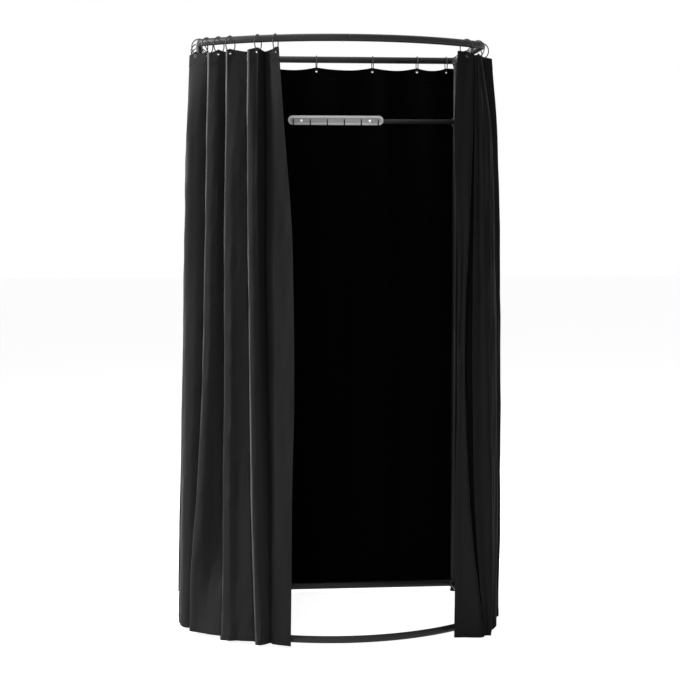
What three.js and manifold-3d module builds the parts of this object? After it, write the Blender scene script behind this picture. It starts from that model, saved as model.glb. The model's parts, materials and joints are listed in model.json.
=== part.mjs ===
import * as THREE from 'three';
import * as BufferGeometryUtils from 'three/addons/utils/BufferGeometryUtils.js';
import Module from 'manifold-3d';

const wasm = await Module();
wasm.setup();

// Portable fitting room: two D-shaped rings of tube, one above the other on two rear posts,
// with three curtains on wire rings. Millimetres, +Z up, the bow faces -Y.
// Plan of the two rings, on the tubes' centre lines
const frameHalfWidth = 505;
const frameDepth = 790;
const bowRadius = 700;
const cornerRadius = 75;
const railRise = 2090;

// Tubes and their joints
const tubeRadius = 12.7;
const tubeWall = 1.5;
const tubeBore = tubeRadius - tubeWall;
const spigotPlay = 0.7;
const spigotRadius = tubeBore - spigotPlay;
const spigotBore = 8.5;
const spigotLength = 60;
const spigotRoot = 12;
const seatGap = 0.3;
const postJointHeight = 1060;

// Corner fittings and feet
const hubRadius = 17;
const hubHeight = 28;
const hubChamfer = 2;
const footHeight = 16.7;
const footRadius = 14;
const footWaist = 11;
const saddleRise = 8;
const saddlePlay = 0.4;
const saddleSetback = 65;

// Snap buttons and their springs
const buttonRadius = 3.5;
const buttonPlay = 0.5;
const buttonProud = 2;
const buttonDome = 1.2;
const flangeRadius = 4.6;
const flangeThickness = 1.2;
const buttonSetback = 18;
const springWidth = 5;
const springThickness = 0.8;
const springLength = 26;

// Hang bar, its bracket and the notched strip
const barRadius = 9.5;
const barWall = 1.2;
const barDrop = 241;
const barSetback = 52;
const barFreeEnd = -150;
const collarPlay = 0.4;
const collarWall = 5;
const collarHeight = 34;
const cupLength = 30;
const cupWall = 3;
const armThickness = 12;
const stripLength = 372;
const stripHeight = 36;
const stripThickness = 4;
const stripRise = 3;
const stripMiddle = 22;
const notchCount = 6;
const notchPitch = 66.3;
const notchWidth = 5;
const notchDepth = 23;
const screwSpread = 134;
const screwRadius = 2;
const screwPlay = 0.4;
const screwHeadRadius = 6.5;
const screwHeadHeight = 2.6;
const screwReach = 12;
const capThickness = 2;
const capPlug = 10;

// Wire rings and the curtains that hang on them
const ringRadius = 30;
const wireRadius = 1.9;
const eyeletRadius = 6;
const eyeletDrop = 18;
const eyeletCut = 10;
const clothThickness = 2;
const hemHeight = 12;

// Rings' places along their rails, as shares of the front rail's half length, or of half the frame's width
const leftRingShares = [
  -0.93018, -0.78746, -0.64391, -0.51431, -0.4692, -0.42162, -0.37815, -0.28136, -0.22394,
];
const rightRingShares = [0.41701, 0.47409, 0.54543, 0.66217, 0.79578, 0.93911];
const rearRingShares = [-0.91782, -0.68939, -0.34061, 0.09586, 0.49562, 0.9015];

// Folds, from one side of each curtain to the other. Each is a line down the cloth: its place along
// the rail, in the rings' shares, and its stand outside the rail's line, at each of the fold depths.
// A fold with two entries goes evenly from its place at the top to its place at the foot
const foldDepthShares = [0, 0.14, 0.333, 0.549, 0.765, 1];
const evenShares = [0, 0.32, 0.5, 0.66, 0.82, 1];
const leftFoldShares = [
  [[-1.0283, 22], [-1.0507, 99.4]],
  [[-0.9944, 17], [-1.0158, 46]],
  [[-0.9568, 5], [-0.9765, 40]],
  [[-0.93, 2], [-0.9497, 56]],
  [[-0.8906, -14], [-0.9121, 28]],
  [[-0.8316, 20], [-0.8692, 86]],
  [[-0.7869, 2], [-0.8271, 58]],
  [[-0.7494, -16], [-0.7869, 30]],
  [[-0.6868, 22], [-0.735, 88]],
  [[-0.6438, 2], [-0.6903, 66]],
  [[-0.6027, 4], [-0.6689, 60]],
  [[-0.5473, 34], [-0.5616, 47], [-0.583, 58], [-0.6045, 70], [-0.6242, 80], [-0.6447, 90]],
  [[-0.5151, 3], [-0.5231, 20], [-0.5392, 32], [-0.558, 42], [-0.5795, 50], [-0.6045, 56]],
  [[-0.4686, -2], [-0.473, -1], [-0.4811, 0], [-0.49, 8], [-0.5115, 20], [-0.549, 36]],
  [[-0.4498, 17], [-0.4525, 26], [-0.4587, 32], [-0.4641, 40], [-0.482, 48], [-0.5222, 53]],
  [[-0.4221, 2], [-0.4274, 8], [-0.4328, 13], [-0.44, 17], [-0.4596, 20], [-0.4918, 28]],
  [[-0.3961, -14], [-0.397, -12], [-0.3997, -7], [-0.4042, -1], [-0.4131, 6], [-0.4256, 17]],
  [[-0.3863, 11], [-0.3818, 22], [-0.3818, 26], [-0.3791, 30], [-0.3854, 34], [-0.3881, 38]],
  [[-0.3783, 3], [-0.3702, 15], [-0.3675, 20], [-0.3648, 25], [-0.3666, 30], [-0.3702, 34]],
  [[-0.3523, -6], [-0.355, 6], [-0.3541, 13], [-0.3496, 19], [-0.347, 24], [-0.3452, 30]],
  [[-0.3228, -13], [-0.3246, -4], [-0.3228, 2], [-0.3166, 8], [-0.3085, 14], [-0.2978, 22]],
  [[-0.3058, 15], [-0.3085, 22], [-0.3058, 26], [-0.2978, 32], [-0.2906, 38], [-0.2745, 42]],
  [[-0.2772, 2], [-0.2745, 8], [-0.2709, 12], [-0.2629, 20], [-0.254, 28], [-0.2486, 34]],
  [[-0.2575, -46], [-0.2566, -48], [-0.254, -40], [-0.2414, -14], [-0.2343, 6], [-0.2307, 18]],
  [[-0.2361, -2], [-0.2396, 4], [-0.2334, 8], [-0.2146, 14], [-0.2155, 20], [-0.2155, 26]],
  [[-0.2128, 4], [-0.194, 8], [-0.169, 14], [-0.1636, 20], [-0.1708, 25], [-0.1744, 30]],
];
const rightFoldShares = [
  [[0.3747, 5], [0.355, 14], [0.3613, 24], [0.3586, 34], [0.3443, 44], [0.3398, 50]],
  [[0.4149, 3], [0.3863, 20], [0.3756, 32], [0.3648, 44], [0.3595, 57], [0.3666, 76]],
  [[0.4355, 12], [0.414, 30], [0.389, 42], [0.3711, 55], [0.3765, 72], [0.3979, 118]],
  [[0.44, -30], [0.423, -26], [0.4042, -22], [0.3899, -16], [0.3917, 10], [0.4113, 94]],
  [[0.4462, 12], [0.4292, 30], [0.414, 42], [0.4033, 55], [0.4015, 72], [0.4185, 104]],
  [[0.4614, 18], [0.4578, 35], [0.4587, 50], [0.4605, 65], [0.4623, 82], [0.4346, 116]],
  [[0.4748, 1], [0.4865, 34], [0.4936, 48], [0.4972, 60], [0.4972, 70], [0.4873, 74]],
  [[0.5455, -2], [0.5437, 44], [0.5473, 58], [0.5526, 68], [0.5562, 70], [0.5616, 64]],
  [[0.5795, 48], [0.583, 72], [0.5938, 86], [0.6045, 95], [0.6116, 99], [0.6188, 98]],
  [[0.6206, 2], [0.6313, 26], [0.642, 38], [0.6528, 48], [0.6635, 54], [0.6724, 60]],
  [[0.6617, 2], [0.7154, 74]],
  [[0.7046, 20], [0.7476, 90]],
  [[0.7565, -14], [0.7941, 36]],
  [[0.7959, 2], [0.8316, 60]],
  [[0.8388, 20], [0.8728, 88]],
  [[0.8978, -13], [0.921, 34]],
  [[0.9389, 2], [0.9586, 60]],
  [[0.9765, 14], [0.9926, 60]],
  [[1.0283, 22], [1.0507, 98]],
];
const rearFoldShares = [
  [[-1.0198, 17], [-1.0792, 66]],
  [[-0.9703, 14], [-1.0139, 52]],
  [[-0.9168, 2], [-0.9505, 40]],
  [[-0.802, -8], [-0.8158, 26]],
  [[-0.6891, 2], [-0.6931, 42]],
  [[-0.5782, 9], [-0.5861, 54]],
  [[-0.4396, -7], [-0.4356, 26]],
  [[-0.3406, 2], [-0.3327, 40]],
  [[-0.2297, 8], [-0.2218, 54]],
  [[-0.0713, -8], [-0.0673, 26]],
  [[0.095, 2], [0.0911, 42]],
  [[0.2139, 9], [0.2099, 54]],
  [[0.3842, -7], [0.3762, 26]],
  [[0.495, 2], [0.495, 40]],
  [[0.6178, 8], [0.6257, 54]],
  [[0.7921, -9], [0.8, 26]],
  [[0.901, 2], [0.9267, 42]],
  [[0.9663, 14], [1.0059, 52]],
  [[1.0198, 17], [1.0792, 66]],
];
const sagShare = 0.1;
const sagMost = 11;

// Facets
const tubeSides = 16;
const boreSides = 12;
const roundSides = 20;
const bowSteps = 6;
const cornerSteps = 4;
const wireSides = 5;
const ringSteps = 12;
const holeSides = 8;
const foldSteps = 3;
const mergeTolerance = 1e-4;
const overrun = 4;

// Places worked out from the sizes above
const baseHeight = footHeight + seatGap + hubHeight / 2;
const topHeight = baseHeight + railRise;
const barHeight = topHeight - barDrop;
const cornerTurn = Math.asin((frameHalfWidth - cornerRadius) / (bowRadius - cornerRadius));
const bowLength = bowRadius * cornerTurn;
const cornerLength = cornerRadius * (Math.PI / 2 - cornerTurn);
const cornerCentreY = bowRadius - (bowRadius - cornerRadius) * Math.cos(cornerTurn);
const sideLength = frameDepth - cornerCentreY - hubRadius - seatGap;
const halfRingLength = bowLength + cornerLength + sideLength;
const facetShare = Math.cos(Math.PI / ringSteps);
const ringCentreDrop = (ringRadius - wireRadius) * facetShare - tubeRadius - seatGap;
const wireBottom = topHeight - ringCentreDrop - ringRadius * facetShare;
const eyeletHeight = wireBottom + wireRadius + seatGap - eyeletRadius;
const curtainTop = eyeletHeight + eyeletDrop;

const frontCurtains = { path: frontPath, span: halfRingLength };
const curtains = {
  left: { ...frontCurtains, rings: leftRingShares, folds: leftFoldShares },
  right: { ...frontCurtains, rings: rightRingShares, folds: rightFoldShares },
  rear: { path: rearPath, span: frameHalfWidth, rings: rearRingShares, folds: rearFoldShares },
};

const material = {
  blackPaint: () => new THREE.MeshStandardMaterial({ color: 0x3a3a3c, roughness: 0.42, metalness: 0.3 }),
  blackWire: () => new THREE.MeshStandardMaterial({ color: 0x1c1c1e, roughness: 0.35, metalness: 0.6 }),
  blackPlastic: () => new THREE.MeshStandardMaterial({ color: 0x1a1a1b, roughness: 0.55, metalness: 0 }),
  rubber: () => new THREE.MeshStandardMaterial({ color: 0x161616, roughness: 0.85, metalness: 0 }),
  steel: () => new THREE.MeshStandardMaterial({ color: 0xc4c6c8, roughness: 0.25, metalness: 1 }),
  clear: () => new THREE.MeshStandardMaterial({ color: 0xe9edef, roughness: 0.08, metalness: 0 }),
  cloth: () => new THREE.MeshStandardMaterial({
    color: 0x232325,
    roughness: 0.6,
    metalness: 0,
    side: THREE.DoubleSide,
  }),
};

const room = new THREE.Group();

function addPart(name, geometry, finish) {
  const mesh = new THREE.Mesh(geometry, finish());
  mesh.name = name;
  room.add(mesh);
  return mesh;
}

// Solids to and from geometry, for the joins and cuts
function toSolid(geometry) {
  const plain = geometry.clone();
  plain.deleteAttribute('normal');
  plain.deleteAttribute('uv');
  const merged = BufferGeometryUtils.mergeVertices(plain, mergeTolerance);
  return new wasm.Manifold(new wasm.Mesh({
    numProp: 3,
    vertProperties: new Float32Array(merged.attributes.position.array),
    triVerts: new Uint32Array(merged.index.array),
  }));
}

function toGeometry(solid) {
  const mesh = solid.getMesh();
  const geometry = new THREE.BufferGeometry();
  geometry.setAttribute('position', new THREE.BufferAttribute(mesh.vertProperties, 3));
  geometry.setIndex(new THREE.BufferAttribute(mesh.triVerts, 1));
  geometry.computeVertexNormals();
  return geometry;
}

function join(...geometries) {
  return toGeometry(geometries.map(toSolid).reduce((sum, next) => sum.add(next)));
}

function cut(geometry, ...tools) {
  return toGeometry(tools.map(toSolid).reduce((rest, tool) => rest.subtract(tool), toSolid(geometry)));
}

// The front ring's centre line: distance runs from the middle of the bow, negative to the left
function frontPath(distance) {
  const side = distance < 0 ? -1 : 1;
  const run = Math.abs(distance);
  let turn = run / bowRadius;
  let x = bowRadius * Math.sin(turn);
  let y = bowRadius - bowRadius * Math.cos(turn);
  if (run > bowLength) {
    turn = Math.min(cornerTurn + (run - bowLength) / cornerRadius, Math.PI / 2);
    x = frameHalfWidth - cornerRadius + cornerRadius * Math.sin(turn);
    y = cornerCentreY - cornerRadius * Math.cos(turn);
    y += Math.max(0, run - bowLength - cornerLength);
  }
  return { x: side * x, y, turn: side * turn, outX: side * Math.sin(turn), outY: -Math.cos(turn) };
}

// The rear rail's centre line: distance runs from its middle, positive to the left
function rearPath(distance) {
  return { x: -distance, y: frameDepth, turn: Math.PI, outX: 0, outY: 1 };
}

// A path that an extrusion follows from station to station
class StationPath extends THREE.Curve {
  constructor(stations) {
    super();
    this.stations = stations;
  }

  blend(t, key, target) {
    const last = this.stations.length - 1;
    const index = Math.min(Math.floor(t * last), last - 1);
    return target.lerpVectors(this.stations[index][key], this.stations[index + 1][key], t * last - index);
  }

  getPoint(t, target = new THREE.Vector3()) {
    return this.blend(t, 'point', target);
  }

  getPointAt(t, target = new THREE.Vector3()) {
    return this.getPoint(t, target);
  }

  getTangent(t, target = new THREE.Vector3()) {
    return this.blend(t, 'tangent', target).normalize();
  }

  getTangentAt(t, target = new THREE.Vector3()) {
    return this.getTangent(t, target);
  }
}

function frontStations(from, to, height) {
  const marks = [0, spigotLength, bowLength, bowLength + cornerLength, halfRingLength];
  const steps = [1, bowSteps, cornerSteps, 1];
  const places = [from, to];
  marks.slice(0, -1).forEach((mark, span) => {
    for (let i = 0; i <= steps[span]; i += 1) {
      const place = mark + (marks[span + 1] - mark) * i / steps[span];
      places.push(place, -place);
    }
  });
  const inside = places.filter((place) => place >= from && place <= to).sort((a, b) => a - b);
  const kept = inside.filter((place, i) => i === 0 || place - inside[i - 1] > seatGap);
  return kept.map((place) => {
    const at = frontPath(place);
    return {
      point: new THREE.Vector3(at.x, at.y, height),
      tangent: new THREE.Vector3(Math.cos(at.turn), Math.sin(at.turn), 0),
    };
  });
}

function straightStations(start, end) {
  const tangent = end.clone().sub(start).normalize();
  return [{ point: start, tangent }, { point: end, tangent }];
}

function polygon(radius, sides) {
  const points = [];
  for (let i = 0; i < sides; i += 1) {
    const angle = 2 * Math.PI * i / sides;
    points.push(new THREE.Vector2(radius * Math.cos(angle), radius * Math.sin(angle)));
  }
  return points;
}

function sweep(stations, radius, bore = 0, sides = tubeSides) {
  const section = new THREE.Shape(polygon(radius, sides));
  if (bore > 0) {
    section.holes.push(new THREE.Path(polygon(bore, boreSides)));
  }
  const extrudePath = new StationPath(stations);
  return new THREE.ExtrudeGeometry(section, { steps: stations.length - 1, extrudePath });
}

function rod(start, end, radius, sides = boreSides) {
  return sweep(straightStations(start, end), radius, 0, sides);
}

function lathe(profile, sides = roundSides) {
  const points = profile.map(([radius, height]) => new THREE.Vector2(radius, height));
  return new THREE.LatheGeometry(points, sides).rotateX(Math.PI / 2);
}

const point = (x, y, z) => new THREE.Vector3(x, y, z);

// A button's seat: where it stands on a tube joint and which way it faces
const bowJoints = {
  base: { carrier: -1, height: baseHeight, faces: 'up' },
  top: { carrier: 1, height: topHeight, faces: 'down' },
};
const buttonSeats = {};
Object.entries(bowJoints).forEach(([level, { carrier, height, faces }]) => {
  const { x, y, turn } = frontPath(-carrier * buttonSetback);
  buttonSeats[`${level}_bow`] = { at: point(x, y, height), turn, faces };
});
[-1, 1].forEach((side) => {
  const at = point(side * frameHalfWidth, frameDepth, postJointHeight + buttonSetback);
  buttonSeats[`${side < 0 ? 'left' : 'right'}_post`] = { at, faces: 'back' };
});

// Turns a piece made along +Z, with the spigot's free end towards +X, to its seat
function seatButtonPiece(geometry, seat) {
  if (seat.faces === 'back') {
    geometry.rotateY(-Math.PI / 2).rotateZ(-Math.PI / 2);
  } else {
    geometry.rotateY(seat.faces === 'down' ? Math.PI : 0).rotateZ(seat.turn);
  }
  return geometry.translate(seat.at.x, seat.at.y, seat.at.z);
}

function buttonHole(seat) {
  const hole = rod(point(0, 0, 0), point(0, 0, tubeRadius + overrun), buttonRadius + buttonPlay);
  return seatButtonPiece(hole, seat);
}

function makeButtons() {
  const boreFlat = spigotBore * Math.cos(Math.PI / boreSides);
  const flangeTop = Math.sqrt(boreFlat ** 2 - flangeRadius ** 2) - seatGap;
  const legFoot = seatGap - Math.sqrt(boreFlat ** 2 - (springWidth / 2) ** 2);
  const top = tubeRadius + buttonProud;
  Object.entries(buttonSeats).forEach(([joint, seat]) => {
    const button = lathe([
      [0, flangeTop - flangeThickness],
      [flangeRadius, flangeTop - flangeThickness],
      [flangeRadius, flangeTop],
      [buttonRadius, flangeTop],
      [buttonRadius, top - buttonDome],
      [buttonRadius - buttonDome, top],
      [0, top],
    ], boreSides);
    addPart(`${joint}_snap_button`, seatButtonPiece(button, seat), material.steel);
    const legTop = flangeTop - flangeThickness - seatGap;
    const outline = new THREE.Shape([
      new THREE.Vector2(-flangeRadius, legTop),
      new THREE.Vector2(-flangeRadius, legTop - springThickness),
      new THREE.Vector2(springLength - springThickness, 0),
      new THREE.Vector2(-flangeRadius, legFoot + springThickness),
      new THREE.Vector2(-flangeRadius, legFoot),
      new THREE.Vector2(springLength, -springThickness),
      new THREE.Vector2(springLength, springThickness),
    ]);
    const spring = new THREE.ExtrudeGeometry(outline, { depth: springWidth, bevelEnabled: false });
    spring.translate(0, 0, -springWidth / 2).rotateX(Math.PI / 2);
    addPart(`${joint}_snap_spring`, seatButtonPiece(spring, seat), material.steel);
  });
}

// Spigot past a tube's shoulder, for the next tube to push onto
function spigotFor(span, shoulder, way) {
  const start = shoulder - way * spigotRoot;
  const root = sweep(span(start, shoulder), (tubeRadius + tubeBore) / 2, spigotBore);
  const plug = sweep(span(start, shoulder + way * spigotLength), spigotRadius, spigotBore);
  return join(root, plug);
}

// The bowed half on the carrier's side has the spigot, the other half pushes onto it
function makeRing(level) {
  const { carrier, height } = bowJoints[level];
  const span = (a, b) => frontStations(Math.min(a, b), Math.max(a, b), height);
  const hole = buttonHole(buttonSeats[`${level}_bow`]);
  const tube = sweep(span(0, carrier * halfRingLength), tubeRadius, tubeBore);
  const spigotHalf = cut(join(tube, spigotFor(span, 0, -carrier)), hole);
  const socketTube = sweep(span(-carrier * seatGap, -carrier * halfRingLength), tubeRadius, tubeBore);
  const socketHalf = cut(socketTube, hole);
  addPart(`${level}_left_rail`, carrier < 0 ? spigotHalf : socketHalf, material.blackPaint);
  addPart(`${level}_right_rail`, carrier < 0 ? socketHalf : spigotHalf, material.blackPaint);
  const rearEnd = frameHalfWidth - hubRadius - seatGap;
  const rear = straightStations(point(-rearEnd, frameDepth, height), point(rearEnd, frameDepth, height));
  addPart(`${level}_rear_rail`, sweep(rear, tubeRadius, tubeBore), material.blackPaint);
}

function makeCorner(level, side, height) {
  const name = side < 0 ? 'left' : 'right';
  const x = side * frameHalfWidth;
  const postWay = level === 'base' ? 1 : -1;
  const hub = lathe([
    [0, -hubHeight / 2],
    [hubRadius - hubChamfer, -hubHeight / 2],
    [hubRadius, -hubHeight / 2 + hubChamfer],
    [hubRadius, hubHeight / 2 - hubChamfer],
    [hubRadius - hubChamfer, hubHeight / 2],
    [0, hubHeight / 2],
  ]).translate(x, frameDepth, height);
  const middle = point(x, frameDepth, height);
  const reach = hubRadius + spigotLength;
  const fitting = join(
    hub,
    rod(middle, point(x - side * reach, frameDepth, height), spigotRadius),
    rod(middle, point(x, frameDepth - reach, height), spigotRadius),
    rod(middle, point(x, frameDepth, height + postWay * reach), spigotRadius),
  );
  addPart(`${level}_${name}_corner`, fitting, material.blackPlastic);
}

function makePost(side) {
  const name = side < 0 ? 'left' : 'right';
  const seat = buttonSeats[`${name}_post`];
  const x = side * frameHalfWidth;
  const span = (a, b) => straightStations(
    point(x, frameDepth, Math.min(a, b)),
    point(x, frameDepth, Math.max(a, b)),
  );
  const foot = baseHeight + hubHeight / 2 + seatGap;
  const head = topHeight - hubHeight / 2 - seatGap;
  const lowerTube = sweep(span(foot, postJointHeight), tubeRadius, tubeBore);
  const lower = cut(join(lowerTube, spigotFor(span, postJointHeight, 1)), buttonHole(seat));
  const upper = cut(sweep(span(postJointHeight + seatGap, head), tubeRadius, tubeBore), buttonHole(seat));
  addPart(`${name}_lower_post`, lower, material.blackPaint);
  addPart(`${name}_upper_post`, upper, material.blackPaint);
}

function makeFeet() {
  [-1, 1].forEach((side) => {
    const name = side < 0 ? 'left' : 'right';
    const rearFoot = lathe([
      [0, 0],
      [footRadius, 0],
      [footWaist, footHeight],
      [0, footHeight],
    ]).translate(side * frameHalfWidth, frameDepth, 0);
    addPart(`rear_${name}_foot`, rearFoot, material.rubber);
    const saddle = baseHeight - tubeRadius + saddleRise;
    const place = side * (bowLength - saddleSetback);
    const at = frontPath(place);
    const block = lathe([
      [0, 0],
      [footRadius, 0],
      [footRadius, saddle],
      [0, saddle],
    ]).translate(at.x, at.y, 0);
    const ends = [0, side * halfRingLength].sort((a, b) => a - b);
    const groove = frontStations(...ends, baseHeight);
    const frontFoot = cut(block, sweep(groove, tubeRadius + saddlePlay));
    addPart(`front_${name}_foot`, frontFoot, material.rubber);
  });
}

function makeHangBar() {
  const y = frameDepth - barSetback;
  const collarRadius = tubeRadius + collarPlay + collarWall;
  const cupRadius = barRadius + seatGap + cupWall;
  const cupBottom = frameHalfWidth + cupLength / 2;
  const barEnd = cupBottom - cupWall - seatGap;
  const bore = barRadius - barWall;
  const along = straightStations(point(barFreeEnd, y, barHeight), point(barEnd, y, barHeight));
  const screwPlaces = [stripMiddle - screwSpread, stripMiddle + screwSpread];
  const frontFace = y - barRadius;
  const stripBack = frontFace - seatGap;
  const stripFront = stripBack - stripThickness;
  const screwBores = screwPlaces.map((x) => rod(
    point(x, stripFront - overrun, barHeight),
    point(x, frontFace + screwReach, barHeight),
    screwRadius + screwPlay,
    holeSides,
  ));
  addPart('hang_bar', cut(sweep(along, barRadius, bore), ...screwBores), material.blackPaint);

  const cap = lathe([
    [0, 0],
    [barRadius, 0],
    [barRadius, capThickness],
    [bore * Math.cos(Math.PI / boreSides) - seatGap, capThickness],
    [bore * Math.cos(Math.PI / boreSides) - seatGap, capThickness + capPlug],
    [0, capThickness + capPlug],
  ]).rotateY(Math.PI / 2).translate(barFreeEnd - capThickness - seatGap, y, barHeight);
  addPart('hang_bar_cap', cap, material.blackPlastic);

  const postAxis = (from, to) => [
    point(frameHalfWidth, frameDepth, from),
    point(frameHalfWidth, frameDepth, to),
  ];
  const low = barHeight - collarHeight / 2;
  const high = barHeight + collarHeight / 2;
  const arm = new THREE.BoxGeometry(armThickness, barSetback, collarHeight)
    .translate(frameHalfWidth, frameDepth - barSetback / 2, barHeight);
  const cup = rod(
    point(cupBottom - cupLength, y, barHeight),
    point(cupBottom, y, barHeight),
    cupRadius,
    roundSides,
  );
  const bracket = cut(
    join(rod(...postAxis(low, high), collarRadius, roundSides), arm, cup),
    rod(...postAxis(low - overrun, high + overrun), tubeRadius + collarPlay, roundSides),
    rod(
      point(cupBottom - cupLength - overrun, y, barHeight),
      point(cupBottom - cupWall, y, barHeight),
      barRadius + seatGap,
      roundSides,
    ),
  );
  const clampHole = rod(
    point(frameHalfWidth + tubeRadius, frameDepth, barHeight),
    point(frameHalfWidth + collarRadius + overrun, frameDepth, barHeight),
    screwRadius + screwPlay,
    holeSides,
  );
  addPart('hang_bar_bracket', cut(bracket, clampHole), material.blackPaint);

  const roundHeadScrew = (reach) => lathe([
    [0, -screwHeadHeight],
    [screwHeadRadius / 2, -screwHeadHeight],
    [screwHeadRadius, -screwHeadHeight / 3],
    [screwHeadRadius, 0],
    [screwRadius, 0],
    [screwRadius, reach],
    [0, reach],
  ], tubeSides);
  const clampScrew = roundHeadScrew(collarWall).rotateY(-Math.PI / 2)
    .translate(frameHalfWidth + collarRadius + seatGap, frameDepth, barHeight);
  addPart('bracket_clamp_screw', clampScrew, material.steel);

  const half = stripLength / 2 - stripHeight / 2;
  const outline = new THREE.Shape();
  outline.absarc(half, 0, stripHeight / 2, -Math.PI / 2, Math.PI / 2);
  outline.absarc(-half, 0, stripHeight / 2, Math.PI / 2, 3 * Math.PI / 2);
  const plate = new THREE.ExtrudeGeometry(outline, {
    depth: stripThickness,
    bevelEnabled: false,
    curveSegments: boreSides / 2,
  });
  const notches = [];
  for (let i = 0; i < notchCount; i += 1) {
    const notch = new THREE.BoxGeometry(notchWidth, notchDepth + overrun, stripThickness + 2 * overrun);
    const middle = -stripHeight / 2 + notchDepth - (notchDepth + overrun) / 2;
    notch.translate((i - (notchCount - 1) / 2) * notchPitch, middle, stripThickness / 2);
    notches.push(notch);
  }
  const strip = cut(plate, ...notches).rotateX(Math.PI / 2)
    .translate(stripMiddle, stripBack, barHeight + stripRise);
  addPart('notched_strip', cut(strip, ...screwBores), material.clear);
  ['left', 'right'].forEach((name, i) => {
    const screw = roundHeadScrew(screwReach).rotateX(-Math.PI / 2)
      .translate(screwPlaces[i], stripFront - seatGap, barHeight);
    addPart(`${name}_strip_screw`, screw, material.steel);
  });
}

function mix(from, to, share) {
  return from + (to - from) * share;
}

// The cloth's line across all its folds at one depth: x is the place along the rail, y is the stand
function clothLine(curtain, level) {
  const spots = curtain.folds.map((fold) => {
    const [top, foot] = fold;
    const share = evenShares[level];
    const even = () => [mix(top[0], foot[0], share), mix(top[1], foot[1], share)];
    const [place, stand] = fold.length === 2 ? even() : fold[level];
    return new THREE.Vector3(place * curtain.span, stand, 0);
  });
  const line = new THREE.CatmullRomCurve3(spots, false, 'centripetal');
  return line.getPoints((spots.length - 1) * foldSteps);
}

// How far the top edge hangs down between two rings
function topSag(curtain, along) {
  const places = curtain.rings.map((place) => place * curtain.span);
  const next = places.findIndex((place) => place > along);
  if (next <= 0) {
    return 0;
  }
  const gap = places[next] - places[next - 1];
  const share = (along - places[next - 1]) / gap;
  return Math.min(sagMost, sagShare * gap) * 4 * share * (1 - share);
}

function clothGeometry(curtain) {
  const drop = curtainTop - hemHeight;
  const positions = [];
  const columns = (curtain.folds.length - 1) * foldSteps;
  const rows = foldDepthShares.length - 1;
  foldDepthShares.forEach((depthShare, level) => {
    const line = clothLine(curtain, level);
    const row = line.map(({ x, y }) => {
      const at = curtain.path(x);
      return new THREE.Vector2(at.x + at.outX * y, at.y + at.outY * y);
    });
    row.forEach((at, i) => {
      const before = row[Math.max(i - 1, 0)];
      const after = row[Math.min(i + 1, columns)];
      const way = after.clone().sub(before).normalize().multiplyScalar(clothThickness / 2);
      const height = curtainTop - depthShare * drop - topSag(curtain, line[i].x) * (1 - depthShare);
      positions.push(at.x + way.y, at.y - way.x, height);
      positions.push(at.x - way.y, at.y + way.x, height);
    });
  });
  const corner = (row, column, inner) => 2 * (row * (columns + 1) + column) + inner;
  const index = [];
  const quad = (a, b, c, d) => index.push(a, b, c, a, c, d);
  for (let row = 0; row < rows; row += 1) {
    for (let i = 0; i < columns; i += 1) {
      quad(corner(row, i, 0), corner(row + 1, i, 0), corner(row + 1, i + 1, 0), corner(row, i + 1, 0));
      quad(corner(row, i, 1), corner(row, i + 1, 1), corner(row + 1, i + 1, 1), corner(row + 1, i, 1));
    }
    quad(corner(row, 0, 0), corner(row, 0, 1), corner(row + 1, 0, 1), corner(row + 1, 0, 0));
    quad(
      corner(row, columns, 0),
      corner(row + 1, columns, 0),
      corner(row + 1, columns, 1),
      corner(row, columns, 1),
    );
  }
  for (let i = 0; i < columns; i += 1) {
    quad(corner(0, i, 0), corner(0, i + 1, 0), corner(0, i + 1, 1), corner(0, i, 1));
    quad(corner(rows, i, 0), corner(rows, i, 1), corner(rows, i + 1, 1), corner(rows, i + 1, 0));
  }
  const geometry = new THREE.BufferGeometry();
  geometry.setAttribute('position', new THREE.Float32BufferAttribute(positions, 3));
  geometry.setIndex(index);
  return geometry;
}

function makeCurtain(name) {
  const curtain = curtains[name];
  const holes = [];
  const line = clothLine(curtain, 0);
  curtain.rings.forEach((ringShare, i) => {
    const place = ringShare * curtain.span;
    const at = curtain.path(place);
    const ring = new THREE.TorusGeometry(ringRadius, wireRadius, wireSides, ringSteps);
    ring.rotateZ(Math.PI / 2 + Math.PI / ringSteps).rotateY(Math.PI / 2);
    const mesh = addPart(`${name}_ring_${i + 1}`, ring, material.blackWire);
    mesh.position.set(at.x, at.y, topHeight - ringCentreDrop);
    mesh.rotation.z = at.turn;
    const next = line.findIndex(({ x }) => x > place);
    const share = (place - line[next - 1].x) / (line[next].x - line[next - 1].x);
    const stand = mix(line[next - 1].y, line[next].y, share);
    const reach = (way) => point(
      at.x + at.outX * (stand + way * eyeletCut),
      at.y + at.outY * (stand + way * eyeletCut),
      eyeletHeight,
    );
    holes.push(rod(reach(-1), reach(1), eyeletRadius, holeSides));
  });
  addPart(`${name}_curtain`, cut(clothGeometry(curtain), ...holes), material.cloth);
}

makeRing('base');
makeRing('top');
[-1, 1].forEach((side) => {
  makeCorner('base', side, baseHeight);
  makeCorner('top', side, topHeight);
  makePost(side);
});
makeFeet();
makeButtons();
makeHangBar();
Object.keys(curtains).forEach(makeCurtain);

// The origin is at the middle of the space the room stands on
const extent = new THREE.Box3().setFromObject(room);
const middle = extent.getCenter(new THREE.Vector3());
room.position.set(-middle.x, -middle.y, -extent.min.z);

export default room;
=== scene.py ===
# Portable fitting room: a bowed frame of push-together tubes with curtains on wire rings
import json
import math

import bmesh
import bpy
import numpy as np
from mathutils import Euler, Matrix, Vector


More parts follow.
